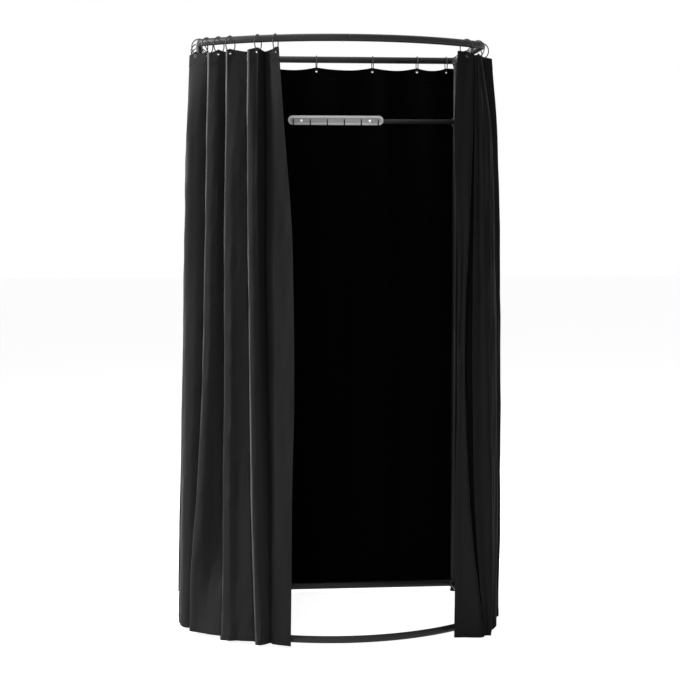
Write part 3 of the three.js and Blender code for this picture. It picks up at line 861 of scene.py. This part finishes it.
def makeFeet():
    for side, word in ((-1, "left"), (1, "right")):
        for (end, kind), profile in foot["profiles"].items():
            node = f"{end}_{word}_foot"
            middle, tall = centreOf(node), span(node, "z")[1]
            scaled = [(radius, tall * share, rounding) for radius, share, rounding in profile]
            piece = turned(f"{end}_{word}_rubber_{kind}", scaled)
            moved(piece, Matrix.Translation((middle.x, middle.y, 0)))
            if kind == "saddle":
                line = frontPoints(0, side * plan["half"], plan["baseZ"])
                combine(piece, grooveAlong(line, tube["radius"] + foot["play"], foot["grooveSides"]))
            settle(piece, "black_rubber", [node])


# A plain closed bar along a level line, for cutting
def grooveAlong(line, radius, sides):
    up = Vector((0, 0, 1))
    points, faces = [], []
    for index, spot in enumerate(line):
        before, after = line[max(index - 1, 0)], line[min(index + 1, len(line) - 1)]
        across = (Vector(after) - Vector(before)).normalized().cross(up)
        for side in range(sides):
            angle = 2 * math.pi * side / sides
            points.append(Vector(spot) + across * radius * math.cos(angle) + up * (radius * math.sin(angle)))
    for index in range(len(line) - 1):
        for side in range(sides):
            after = (side + 1) % sides
            a, b = index * sides, (index + 1) * sides
            faces.append((a + side, a + after, b + after, b + side))
    faces += [tuple(range(sides)), tuple(range((len(line) - 1) * sides, len(line) * sides))]
    return outwards(newPiece("groove", points, faces))


makeRails()
makePosts()
makeCorners()
makeButtons()
makeFeet()
print("tube frame, corner fittings, snap buttons and feet are built")


# Hang bar: thinner tube in a clamped bracket on the right post, with the notched strip on its free end
hangBar = {
    "wall": 1.2 * mm,
    "edge": 0.3 * mm,
    "fit": 0.3 * mm,
    "capRound": 0.9 * mm,
    "flangeRound": 0.2 * mm,
    "plugRound": 0.8 * mm,
    "collarWall": 5 * mm,
    "collarPlay": 0.4 * mm,
    "cupWall": 3 * mm,
    "cupLength": 30 * mm,
    "armThickness": 12 * mm,
    "armInset": 2 * mm,
    "bracketEdge": (1.3 * mm, 50, 3),  # width, least angle, segments
    "bracketSides": 64,
    "clampSlot": 1.6 * mm,
    "slotBehind": 13 * mm,
}


def makeHangBar():
    start, end = span("hang_bar", "x")
    low, high = span("hang_bar", "z")
    y, z = centreOf("hang_bar").yz
    radius = (high - low) / 2
    bar = tubeAlong("hang_bar_tube", [(start, y, z), (end, y, z)], radius, hangBar["wall"])
    settle(softEdges(bar, hangBar["edge"]), "black_paint", ["hang_bar"])

    capStart, capEnd = span("hang_bar_cap", "x")
    flange = start - capStart - hangBar["fit"]
    plug = radius - hangBar["wall"] - hangBar["fit"]
    cap = turned("hang_bar_end_cap", [
        (radius, 0, hangBar["capRound"]),
        (radius, flange, hangBar["flangeRound"]),
        (plug, flange, 0),
        (plug, capEnd - capStart, hangBar["plugRound"]),
    ])
    settle(aimed(cap, (capStart, y, z), Vector((1, 0, 0))), "black_plastic", ["hang_bar_cap"])

    postX, postY = plan["halfWidth"], plan["rearY"]
    bottom, top = span("hang_bar_bracket", "z")
    bore = tube["radius"] + hangBar["collarPlay"]
    collar = bore + hangBar["collarWall"]
    cupEnd = postX + hangBar["cupLength"] / 2
    cupStart = cupEnd - hangBar["cupLength"]
    socket = radius + hangBar["fit"]

    def upright(name, start, end, size):
        return rod(name, (postX, postY, start), (postX, postY, end), size, 0, hangBar["bracketSides"])

    def level(name, start, end, size):
        return rod(name, (start, y, z), (end, y, z), size, 0, hangBar["bracketSides"])

    bracket = upright("hang_bar_clamp_bracket", bottom, top, collar)
    halfArm, inset = hangBar["armThickness"] / 2, hangBar["armInset"]
    arm = block("arm", (postX - halfArm, y, bottom + inset), (postX + halfArm, postY, top - inset))
    combine(bracket, arm, "UNION")
    combine(bracket, level("cup", cupStart, cupEnd, socket + hangBar["cupWall"]), "UNION")
    bracket = softEdges(outwards(bracket), *hangBar["bracketEdge"])
    combine(bracket, upright("bore", bottom - overcut, top + overcut, bore))
    combine(bracket, level("socket", cupStart - overcut, cupEnd - hangBar["cupWall"], socket))
    halfSlot = hangBar["clampSlot"] / 2
    slit = block(
        "slit",
        (postX + tube["radius"] / 2, postY - halfSlot + hangBar["slotBehind"], bottom - overcut),
        (postX + collar + overcut, postY + halfSlot + hangBar["slotBehind"], top + overcut),
    )
    combine(bracket, slit)
    settle(bracket, "black_paint", ["hang_bar_bracket"])


# Round-headed screws, made along +Z and set by their nodes' boxes. The head's profile is
# (share of its radius, share of its height from the top, rounding)
screw = {
    "shank": 2 * mm,
    "tip": 0.8 * mm,
    "tipRound": 0.3 * mm,
    "head": 6.5 * mm,
    "headHeight": 2.6 * mm,
    "headProfile": [(1, 1, 0.2 * mm), (1, 0.62, 1.2 * mm), (0.72, 0.16, 2.2 * mm), (0.3, 0, 1.2 * mm)],
    "slot": 1.1 * mm,
    "slotDepth": 1.2 * mm,
    "slotShare": 0.52,
    "slotOver": 1 * mm,
}


def makeScrew(name, node, way):
    low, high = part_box(node)
    top = abs((high - low).dot(way))
    shank, head, tall = screw["shank"], screw["head"], screw["headHeight"]
    body = turned(name, [
        (screw["tip"], 0, 0),
        (shank, shank, screw["tipRound"]),
        (shank, top - tall, 0),
        *[(head * wide, top - tall * down, rounding) for wide, down, rounding in screw["headProfile"]],
    ])
    reach, half = head * screw["slotShare"], screw["slot"] / 2
    for turn in (0, math.pi / 2):
        start = (-reach, -half, top - screw["slotDepth"])
        cutter = block("slot", start, (reach, half, top + screw["slotOver"]))
        combine(body, moved(cutter, Matrix.Rotation(turn, 4, "Z")))
    settle(aimed(body, centreOf(node) - way * top / 2, way), "steel", [node])


strip = {
    "thickness": 4 * mm,
    "arcSteps": 28,
    "notchCount": 6,
    "notchPitch": 66.3 * mm,
    "notchWidth": 5 * mm,
    "notchDepth": 23 * mm,
    "screwSpread": 134 * mm,
    "screwDrop": 3 * mm,
    "screwHole": 2.4 * mm,
    "edge": (0.8 * mm, 50, 3),
}


# The strip lies flat while it is cut, and is stood up at the end
def makeStrip():
    low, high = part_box("notched_strip")
    middle = centreOf("notched_strip")
    radius = (high.z - low.z) / 2
    half = (high.x - low.x) / 2 - radius
    outline = []
    for side in (1, -1):
        for step in range(strip["arcSteps"] + 1):
            angle = -side * math.pi / 2 + math.pi * step / strip["arcSteps"]
            outline.append((side * half + radius * math.cos(angle), radius * math.sin(angle)))
    count = len(outline)
    points = [(x, y, z) for z in (0, strip["thickness"]) for x, y in outline]
    faces = [tuple(range(count))[::-1], tuple(range(count, 2 * count))]
    faces += [(i, (i + 1) % count, count + (i + 1) % count, count + i) for i in range(count)]
    plate = outwards(newPiece("notched_clear_strip", points, faces))

    def bored(x, y, size):
        return rod("hole", (x, y, -overcut), (x, y, overcut + strip["thickness"]), size)

    halfNotch = strip["notchWidth"] / 2
    top = -radius + strip["notchDepth"] - halfNotch
    for index in range(strip["notchCount"]):
        x = (index - (strip["notchCount"] - 1) / 2) * strip["notchPitch"]
        start = (x - halfNotch, -radius - overcut, -overcut)
        notch = block("notch", start, (x + halfNotch, top, overcut + strip["thickness"]))
        combine(plate, combine(notch, bored(x, top, halfNotch), "UNION"))
    for side in (-1, 1):
        combine(plate, bored(side * strip["screwSpread"], -strip["screwDrop"], strip["screwHole"]))
    softEdges(plate, *strip["edge"])
    stood = Matrix.Rotation(math.pi / 2, 4, "X")
    moved(plate, Matrix.Translation((middle.x, high.y, middle.z)) @ stood)
    settle(plate, "clear_acrylic", ["notched_strip"], finish=clearAcrylic(middle, half, radius))


makeHangBar()
makeScrew("bracket_clamp_bolt", "bracket_clamp_screw", Vector((1, 0, 0)))
makeScrew("left_strip_bolt", "left_strip_screw", Vector((0, -1, 0)))
makeScrew("right_strip_bolt", "right_strip_screw", Vector((0, -1, 0)))
makeStrip()
print("hang bar, bracket, strip and screws are built")


# Wire rings, one on each body, from the boxes of the solids that they stand for
ring = {"wireRadius": 1.9 * mm, "counts": {"left": 9, "right": 6, "rear": 6}}
ringLow, ringHigh = span("left_ring_1", "z")
ringRadius = (ringHigh - ringLow) / 2 - ring["wireRadius"]


# Distance along the rail of a ring's node, and the ring's turn about Z
def ringSeat(word, number, samples=4000):
    centre = centreOf(f"{word}_ring_{number}")
    if word == "rear":
        return -centre.x, math.pi, centre
    side = -1 if word == "left" else 1
    places = np.linspace(0, plan["half"], samples) * side
    xs, ys = frontLine(places, 0)
    distance = float(places[np.argmin(np.hypot(xs - centre.x, ys - centre.y))])
    return distance, side * float(turnAt(abs(distance))), centre


ringSeats = {
    word: [ringSeat(word, number + 1) for number in range(count)]
    for word, count in ring["counts"].items()
}


def makeRings():
    values = {
        "Ring Radius": ringRadius,
        "Wire Radius": ring["wireRadius"],
        "Material": finishes["black_wire"],
    }
    for word, seats in ringSeats.items():
        for number, (_, turn, centre) in enumerate(seats, 1):
            spot = newPiece(f"{word}_wire_ring_{number}", [centre], [])
            attribute = spot.data.attributes.new("turn", "FLOAT_VECTOR", "POINT")
            attribute.data[0].vector = (0, 0, turn)
            runTree(spot, trees["ring"], values)
            settle(outwards(spot), "black_wire", [f"{word}_ring_{number}"], angle=80)


makeRings()
print("wire rings:", sum(ring["counts"].values()))


# Curtains. A strand is a fold line down the cloth: its distances along the rail and its stands
# outside the rail's line, in millimetres, at each of these heights in metres. An even one gives
# its distance and stand at the top and at the foot
levels = np.array([2.092, 1.80, 1.40, 0.95, 0.50, 0.012])
drapeShares = np.array([0, 0.32, 0.50, 0.66, 0.82, 1])


def strandPoints(strand):
    if len(strand) == 2:
        return list(zip(*strand))
    top, topStand, low, lowStand = strand
    return [(top + (low - top) * share, topStand + (lowStand - topStand) * share) for share in drapeShares]


leftCurtain = {
    "line": frontLine,
    "fixedRing": 5,
    "leadRing": 9,
    "strands": [
        (-1150, 22, -1175, 99.4), (-1112, 17, -1136, 46), (-1070, 5, -1092, 40),
        (-1040, 2, -1062, 56), (-996, -14, -1020, 28), (-930, 20, -972, 86),
        (-880, 2, -925, 58), (-838, -16, -880, 30), (-768, 22, -822, 88),
        (-720, 2, -772, 66), (-674, 4, -748, 60),
        ([-612, -628, -652, -676, -698, -721], [34, 47, 58, 70, 80, 90]),
        ([-571, -572, -577, -581, -594, -644], [11, 48, 53, 60, 68, 79]),
        ([-546, -555, -561, -566, -582, -623], [1, 27, 31, 39, 48, 64]),
        ([-524, -529, -538, -548, -572, -614], [-2, -1, 0, 8, 20, 36]),
        ([-504, -505, -512, -520, -538, -583], [18, 26, 32, 42, 47, 52]),
        ([-491, -489, -495, -503, -522, -565], [12, 23, 30, 38, 40, 28]),
        ([-472, -472, -478, -486, -505, -534], [4, 15, 17, 17, 9, 17]),
        ([-443, -455, -462, -462, -472, -470], [-14, -28, -27, -16, -13, 17]),
        ([-432, -428, -430, -429, -435, -439], [11, 23, 29, 35, 38, 42]),
        ([-423, -412, -412, -411, -417, -420], [3, 21, 28, 34, 38, 42]),
        ([-394, -390, -392, -393, -393, -392], [-6, 13, 18, 22, 23, 28]),
        ([-361, -357, -354, -347, -342, -330], [-13, -3, 3, 9, 13, 19]),
        ([-344, -341, -338, -331, -325, -311], [17, 30, 35, 40, 45, 47]),
        ([-332, -327, -324, -317, -312, -299], [12, 30, 36, 40, 44, 46]),
        ([-312, -310, -308, -301, -295, -288], [3, 19, 24, 28, 31, 36]),
        ([-306, -304, -302, -289, -275, -270], [-38, -40, -34, -17, -1, 16]),
        ([-265, -260, -254, -246, -249, -261], [-4, 2, 8, 18, 23, 26]),
        ([-238, -217, -189, -183, -191, -195], [4, 8, 14, 20, 25, 30]),
    ],
    # How much higher each strand's foot hangs, in millimetres
    "footLift": [0, 2, 4, 3, 6, 0, 3, 6, 0, 3, 4, 0, 0, 0, 1, 0, 0, 2, 5, 0, 0, 1, 3, 0, 0, 1, 3, 2, 0],
    "paintedEdgeHighlight": (0, 25),  # the first and the last strand of the stretch whose fold edges get a painted highlight
    "flat": (1.27, 2.08),
    "seed": 11,
}
rightCurtain = {
    "line": frontLine,
    "fixedRing": 3,
    "leadRing": 1,
    "strands": [
        ([419, 397, 404, 401, 385, 380], [5, 14, 24, 34, 44, 50]),
        ([464, 432, 420, 408, 402, 410], [3, 20, 32, 44, 57, 76]),
        ([487, 463, 435, 415, 421, 445], [12, 30, 42, 55, 72, 118]),
        ([520, 519, 505, 486, 483, 473], [-13, -16, -18, -10, 13, 97]),
        ([529, 540, 535, 522, 516, 494], [-8, -8, -8, 3, 21, 88]),
        ([499, 480, 463, 451, 449, 468], [12, 30, 42, 55, 72, 104]),
        ([508, 496, 489, 483, 481, 478], [14, 32, 44, 58, 76, 110]),
        ([515, 504, 502, 502, 503, 483], [19, 42, 59, 76, 94, 119]),
        ([531, 544, 552, 556, 556, 545], [1, 34, 48, 60, 70, 74]),
        ([610, 608, 612, 618, 622, 628], [-2, 44, 58, 68, 70, 64]),
        ([648, 652, 664, 676, 684, 692], [48, 72, 86, 95, 99, 98]),
        ([694, 706, 718, 730, 742, 752], [2, 26, 38, 48, 54, 60]),
        (740, 2, 800, 74), (788, 20, 836, 90), (846, -14, 888, 36),
        (890, 2, 930, 60), (938, 20, 976, 88), (1004, -13, 1030, 34),
        (1050, 2, 1072, 60), (1092, 14, 1110, 60), (1150, 22, 1175, 98),
    ],
    "footLift": [0, 0, 2, 3, 3, 1, 1, 1, 2, 2, 0, 4, 2, 0, 6, 3, 0, 6, 3, 3, 0],
    # the stretch of strands whose fold edges get a painted highlight
    "paintedEdgeHighlight": (10, 20),
    "flat": (1.10, 2.08),
    "seed": 23,
}
rearCurtain = {
    "line": rearLine,
    "fixedRing": 6,
    "leadRing": 1,
    "strands": [
        (-515, 17, -545, 66), (-490, 14, -512, 52), (-463, 2, -480, 40), (-405, -8, -412, 26),
        (-348, 2, -350, 42), (-292, 9, -296, 54), (-222, -7, -220, 26), (-172, 2, -168, 40),
        (-116, 8, -112, 54), (-36, -8, -34, 26), (48, 2, 46, 42), (108, 9, 106, 54),
        (194, -7, 190, 26), (250, 2, 250, 40), (312, 8, 316, 54), (400, -9, 404, 26),
        (455, 2, 468, 42), (488, 14, 508, 52), (515, 17, 545, 66),
    ],
    "footLift": [0, 1, 2, 4, 2, 0, 4, 2, 0, 4, 2, 0, 4, 2, 0, 4, 2, 1, 0],
    # the stretch of strands whose fold edges get a painted highlight
    "paintedEdgeHighlight": (0, 18),
    "flat": (1.11, 2.08),
    "seed": 37,
}
cloth = {
    "body": 0.9 * mm,
    "hem": 2.2 * mm,
    "topHem": 40 * mm,
    "footHem": 26 * mm,
    "sideHem": 22 * mm,
    "hemStep": 1.4 * mm,
    "leastPanel": 4 * mm,
    "column": 4.2 * mm,
    "row": 20 * mm,
    "fineRow": 4 * mm,
    "footRow": 8 * mm,
    "sagShare": 0.11,
    "sagMost": 11 * mm,
    "holeRadius": 4.9 * mm,
    "stitchIn": 3 * mm,
    "stitchLift": 0.05 * mm,
    "stitchMargin": 2,
    "stitchSeed": 4,
    "ripples": [(1.5 * mm, 0.16, 1.5), (0.7 * mm, 0.05, 0.5)],  # depth, width and height of the waves
    "calmTop": (0.02, 0.30),  # they grow between these depths
    "edgeSharp": (44, 120),
    "valleySharp": (8, 60),
    "smoothAngle": 60,
}
cloth["footEdge"], cloth["topEdge"] = span("left_curtain", "z")
eyelet = {
    "bore": 3.7 * mm,
    "rim": 6.9 * mm,
    "roll": 1.0 * mm,
    "rollLean": 0.25,
    "play": 0.25 * mm,
    "lift": 0.05 * mm,
    "rollSteps": 12,
    "sides": 40,
    # The washer behind the cloth: from the bore or the rim, by how far, and how deep
    "washer": [("bore", 0, 0.9 * mm), ("bore", 0.5 * mm, 1.1 * mm), ("rim", -0.6 * mm, 0.7 * mm)],
    "washerLip": 0.2 * mm,
    "barrel": 0.7 * mm,
}
eyeletHeight = centreOf("left_ring_1").z - ringRadius + ring["wireRadius"] + eyelet["play"] - eyelet["bore"]


# A curve that passes through its points and doesn't overshoot between them
def throughPoints(knots, values, at):
    gaps = np.diff(knots)
    rises = np.diff(values, axis=0) / gaps[:, None]
    weightA = (2 * gaps[1:] + gaps[:-1])[:, None]
    weightB = (gaps[1:] + 2 * gaps[:-1])[:, None]
    with np.errstate(divide="ignore", invalid="ignore"):
        middle = (weightA + weightB) / (weightA / rises[:-1] + weightB / rises[1:])
    slopes = np.zeros_like(values)
    slopes[1:-1] = np.where(rises[:-1] * rises[1:] > 0, middle, 0)
    slopes[0], slopes[-1] = rises[0], rises[-1]
    index = np.clip(np.searchsorted(knots, at, side="right") - 1, 0, len(knots) - 2)
    gap = knots[index + 1] - knots[index]
    t = ((at - knots[index]) / gap)[:, None]
    gap = gap[:, None]
    return (
        values[index] * (2 * t ** 3 - 3 * t ** 2 + 1)
        + values[index + 1] * (3 * t ** 2 - 2 * t ** 3)
        + slopes[index] * gap * (t ** 3 - 2 * t ** 2 + t)
        + slopes[index + 1] * gap * (t ** 3 - t ** 2)
    )


def smoothStep(value, low, high):
    t = np.clip((value - low) / (high - low), 0, 1)
    return t * t * (3 - 2 * t)


# Smooth seeded ripple over a grid: sums of a few slow waves
def softNoise(across, down, seed, wide, tall, count=9, slowest=0.5, fastest=1.6, slant=0.35):
    draw = np.random.default_rng(seed)
    total = np.zeros_like(across)
    for _ in range(count):
        a, b = draw.uniform(slowest, fastest, 2)
        phase = draw.uniform(0, 2 * math.pi)
        lean = draw.uniform(-slant, slant)
        waves = across * a / wide + down * (b / tall) + lean * down / wide
        total += np.sin(2 * math.pi * waves + phase)
    return total / math.sqrt(count)


# Places from the first to the last of these marks, about a step apart between each two
def filled(marks, steps):
    places = []
    for start, end, step in zip(marks, marks[1:], steps):
        places += list(np.linspace(start, end, max(1, round((end - start) / step)), endpoint=False))
    return np.array([*places, marks[-1]])


def around(spot, hole):
    return [spot - hole, spot - hole / 3, spot + hole / 3, spot + hole]


# The curtain's grid: one column for each place across the cloth, one row for each height, with
# the cells open at the eyelets and the places round them drawn into a circle
def clothGrid(word, curtain, strands, samples=6000):
    x, y = curtain["line"](strands[:, :, 0], strands[:, :, 1])
    chords = np.hypot(np.diff(x, axis=0), np.diff(y, axis=0)).mean(axis=1)
    knots = np.concatenate([[0], np.cumsum(np.maximum(chords, cloth["leastPanel"]))])
    wide, drop = knots[-1], cloth["topEdge"] - cloth["footEdge"]
    tried = np.linspace(0, wide, samples)
    reached = throughPoints(knots, strands[:, 0, :1], tried)[:, 0]
    eyelets = sorted(tried[np.argmin(np.abs(reached - distance))] for distance, _, _ in ringSeats[word])

    hole, hemStep, sideHem = cloth["holeRadius"], cloth["hemStep"], cloth["sideHem"]
    marks = [0, sideHem - hemStep, sideHem, wide - sideHem, wide - sideHem + hemStep, wide]
    marks = sorted(marks + [mark for spot in eyelets for mark in around(spot, hole)])
    across = filled(marks, [cloth["column"]] * len(marks))
    holeDown = cloth["topEdge"] - eyeletHeight
    marks = [0, *around(holeDown, hole), cloth["topHem"] - hemStep, cloth["topHem"]]
    marks += [drop - cloth["footHem"], drop - cloth["footHem"] + hemStep, drop]
    down = filled(marks, [cloth["fineRow"]] * 6 + [cloth["row"], cloth["fineRow"], cloth["footRow"]])

    first, last = (knots[strand] for strand in curtain["paintedEdgeHighlight"])
    grid = {
        "u": np.tile(across, (len(down), 1)),
        "v": np.tile(down[:, None], (1, len(across))),
        "wide": wide,
        "drop": drop,
        "knots": knots,
        "eyelets": np.array(eyelets),
        "holeDown": holeDown,
        # where the fold edges may get a painted highlight
        "paintedEdgeHighlight": ((across >= first) & (across <= last)).astype(float),
        "open": np.zeros((len(down) - 1, len(across) - 1), bool),
    }
    reach = hole * 1.01  # so that the hole's own lines count
    for spot in eyelets:
        cols = np.where((across > spot - reach) & (across < spot + reach))[0]
        rows = np.where((down > holeDown - reach) & (down < holeDown + reach))[0]
        grid["open"][rows[0]:rows[-1], cols[0]:cols[-1]] = True
        for row in rows:
            for col in cols:
                a, b = across[col] - spot, down[row] - holeDown
                size, length = max(abs(a), abs(b)), math.hypot(a, b)
                if length > 0:
                    grid["u"][row, col] = spot + a * size / length
                    grid["v"][row, col] = holeDown + b * size / length
    return grid


# Distance and stand at each place of the grid, then its point in the room
def clothPoints(curtain, strands, grid):
    u, v, knots = grid["u"], grid["v"], grid["knots"]
    heights = cloth["topEdge"] - v
    flatU, flatZ = u.ravel(), heights.ravel()
    upwards = strands[:, ::-1].transpose(1, 0, 2).reshape(len(levels), -1)
    plane = np.empty((len(flatU), 2))
    for height in np.unique(np.round(flatZ, 7)):
        pick = np.abs(flatZ - height) < 1e-6
        row = throughPoints(levels[::-1], upwards, np.array([height])).reshape(-1, 2)
        plane[pick] = throughPoints(knots, row, flatU[pick])
    distance, stand = plane[:, 0].reshape(u.shape), plane[:, 1].reshape(u.shape)

    ripple = 0
    for number, (depth, wide, tall) in enumerate(cloth["ripples"]):
        wave = softNoise(u, v, curtain["seed"] + number, wide, tall)
        ripple = ripple + wave * depth * smoothStep(v, *cloth["calmTop"])
    stand = stand + ripple

    sag = np.zeros_like(u)
    for start, end in zip(grid["eyelets"], grid["eyelets"][1:]):
        share = np.clip((u - start) / (end - start), 0, 1)
        deep = min(cloth["sagMost"], (end - start) * cloth["sagShare"])
        sag += np.where((u > start) & (u < end), deep * 4 * share * (1 - share), 0)
    half = grid["drop"] / 2
    sag *= 1 - smoothStep(v, 0, half)
    footLift = np.array(curtain["footLift"], float)[:, None] * mm
    lift = throughPoints(knots, footLift, u.ravel())[:, 0].reshape(u.shape)
    lift *= smoothStep(v, half, grid["drop"])
    x, y = curtain["line"](distance, stand)
    return np.stack([x, y, heights - sag + lift], axis=-1)


# Normals of the grid, on the side away from the room's middle
def outerNormals(points):
    normals = np.cross(np.gradient(points, axis=0), np.gradient(points, axis=1))
    normals = normals / np.linalg.norm(normals, axis=-1, keepdims=True)
    row, col = points.shape[0] // 2, points.shape[1] // 2
    facing = normals[row].mean(axis=0)
    return -normals if np.dot(facing[:2], points[row, col][:2]) < 0 else normals


# How sharply the cloth is folded: 1 along a tight outward edge that gets a painted highlight, -1 down a
# tight valley that gets painted shade
def foldShare(points, normals, paintedEdgeHighlight, passes=3):
    along = np.gradient(points, axis=1)
    length = np.linalg.norm(along, axis=-1)[..., None]
    bend = np.gradient(along / length, axis=1) / length
    sharp = -(bend * normals).sum(axis=-1)
    for _ in range(passes):
        sharp[:, 1:-1] = (sharp[:, :-2] + 2 * sharp[:, 1:-1] + sharp[:, 2:]) / 4
    return smoothStep(sharp, *cloth["edgeSharp"]) * paintedEdgeHighlight - smoothStep(-sharp, *cloth["valleySharp"])


# The cloth is thicker where it is turned over in the hems
def clothThickness(grid):
    # Shares of the hem at the start and at the end of the cloth's width or drop
    def hemmed(place, size, hem):
        wide, step = cloth[hem], cloth["hemStep"]
        first = 1 - smoothStep(place, wide - step, wide)
        last = smoothStep(place, size - wide, size - wide + step)
        return first, last

    top = hemmed(grid["v"], grid["drop"], "topHem")[0]
    low = hemmed(grid["v"], grid["drop"], "footHem")[1]
    share = np.maximum(np.maximum(top, low), np.maximum(*hemmed(grid["u"], grid["wide"], "sideHem")))
    return cloth["body"] + (cloth["hem"] - cloth["body"]) * share


# A closed sheet with two faces, open at its eyelets, and walled round every edge
def clothSolid(name, points, normals, thickness, grid):
    rows, cols = points.shape[:2]
    size = rows * cols
    half = normals * thickness[..., None] / 2
    index = np.arange(size).reshape(rows, cols)
    closed = ~grid["open"]
    a, b = index[:-1, :-1][closed], index[:-1, 1:][closed]
    c, d = index[1:, 1:][closed], index[1:, :-1][closed]
    walls = []
    padded = np.pad(closed, 1)
    upright, level = padded[1:-1, 1:] != padded[1:-1, :-1], padded[1:, 1:-1] != padded[:-1, 1:-1]
    for edges, rowStep in ((upright, 1), (level, 0)):
        for row, col in zip(*np.where(edges)):
            p, q = index[row, col], index[row + rowStep, col + 1 - rowStep]
            if padded[row + 1, col + 1] == rowStep:
                p, q = q, p
            walls.append((p, q, q + size, p + size))
    faces = np.concatenate([np.stack([a, d, c, b], 1), np.stack([a, b, c, d], 1) + size, np.array(walls)])
    mesh = bpy.data.meshes.new(name)
    sides = np.concatenate([(points + half).reshape(-1, 3), (points - half).reshape(-1, 3)])
    mesh.from_pydata(sides.tolist(), [], faces.tolist())

    uv = np.concatenate([np.stack([grid["u"].ravel(), -grid["v"].ravel()], 1)] * 2)
    layer = mesh.uv_layers.new(name="UVMap")
    corners = np.empty(len(mesh.loops), np.int32)
    mesh.loops.foreach_get("vertex_index", corners)
    layer.data.foreach_set("uv", uv[corners].astype(np.float32).ravel())
    for label, values in (
        ("inside", np.repeat([0.0, 1.0], size)),
        ("fold", np.tile(foldShare(points, normals, grid["paintedEdgeHighlight"]).ravel(), 2)),
    ):
        attribute = mesh.attributes.new(label, "FLOAT", "POINT")
        attribute.data.foreach_set("value", values.astype(np.float32))

    used = set(faces.ravel().tolist())
    work = bmesh.new()
    work.from_mesh(mesh)
    bmesh.ops.delete(work, geom=[v for v in work.verts if v.index not in used], context="VERTS")
    bmesh.ops.recalc_face_normals(work, faces=work.faces)
    work.to_mesh(mesh)
    work.free()
    return newObject(name, mesh)


# Lines of thread along the hems, on both faces of the cloth
def makeStitches(word, points, normals, thickness, grid):
    rows, cols = points.shape[:2]
    inside, margin = cloth["stitchIn"], cloth["stitchMargin"]
    places, edges = [], []
    for way in (1, -1):
        lines = []
        for at in (cloth["topHem"] - inside, grid["drop"] - cloth["footHem"] + inside):
            row = int(np.argmin(np.abs(grid["v"][:, 0] - at)))
            lines.append([(row, col) for col in range(margin, cols - margin)])
        for at in (cloth["sideHem"] - inside, grid["wide"] - cloth["sideHem"] + inside):
            col = int(np.argmin(np.abs(grid["u"][-1] - at)))
            lines.append([(row, col) for row in range(margin, rows - margin)])
        for line in lines:
            start = len(places)
            for cell in line:
                lift = thickness[cell] / 2 + cloth["stitchLift"]
                places.append(points[cell] + normals[cell] * way * lift)
            edges += [(start + i, start + i + 1) for i in range(len(line) - 1)]
    seams = newPiece(f"{word}_curtain_stitches", places, [], edges)
    values = {"Material": finishes["black_cloth"], "Seed": cloth["stitchSeed"]}
    return runTree(seams, trees["stitch"], values)


# Rolled metal eyelet with its bore along +Z, then set square to the cloth
def makeEyelet(name, place, normal):
    rim, bore, lean = eyelet["rim"], eyelet["bore"], eyelet["rollLean"]
    half, lift = cloth["hem"] / 2, eyelet["lift"]
    section = []
    for step in range(eyelet["rollSteps"] + 1):
        angle = math.pi * step / eyelet["rollSteps"]
        raised = eyelet["roll"] * math.sin(angle) * (1 - lean + lean * math.cos(angle))
        section.append(((rim + bore) / 2 + (rim - bore) / 2 * math.cos(angle), half + lift + raised))
    section += [(eyelet[edge] + inset, -half - depth) for edge, inset, depth in eyelet["washer"]]
    barrel = bore + eyelet["barrel"]
    section += [(rim - eyelet["washerLip"], -half - lift), (barrel, -half - lift), (barrel, half + lift)]
    count, sides = len(section), eyelet["sides"]
    points, faces = [], []
    for side in range(sides):
        angle = 2 * math.pi * side / sides
        points += [(r * math.cos(angle), r * math.sin(angle), z) for r, z in section]
        a, b = side * count, (side + 1) % sides * count
        faces += [(a + i, a + (i + 1) % count, b + (i + 1) % count, b + i) for i in range(count)]
    return aimed(outwards(newPiece(name, points, faces)), place, Vector(normal))


def makeCurtain(word, curtain):
    strands = np.array([strandPoints(strand) for strand in curtain["strands"]], float) * mm
    grid = clothGrid(word, curtain, strands)
    points = clothPoints(curtain, strands, grid)
    normals = outerNormals(points)
    thickness = clothThickness(grid)
    piece = clothSolid(f"{word}_hung_curtain", points, normals, thickness, grid)
    seams = makeStitches(word, points, normals, thickness, grid)
    for made in (piece, seams):
        painted(made, "black_cloth", cloth["smoothAngle"])
        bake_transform(made)
    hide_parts(f"{word}_curtain")

    order = np.argsort([distance for distance, _, _ in ringSeats[word]])
    for spot, number in zip(grid["eyelets"], order):
        col = int(np.argmin(np.abs(grid["u"][0] - spot)))
        row = int(np.argmin(np.abs(grid["v"][:, 0] - grid["holeDown"])))
        # The four places just outside the hole give its middle and its slant
        near = [(r, c) for r in (row - 2, row + 3) for c in (col - 2, col + 3)]
        normal = np.mean([normals[rc] for rc in near], axis=0)
        x, y, _ = np.mean([points[rc] for rc in near], axis=0)
        made = makeEyelet(f"{word}_eyelet_{number + 1}", Vector((x, y, eyeletHeight)), normal)
        settle(made, "black_wire", body=bodyOf[f"{word}_ring_{number + 1}"])


makeCurtain("left", leftCurtain)
makeCurtain("right", rightCurtain)
makeCurtain("rear", rearCurtain)
print("curtains are hung")
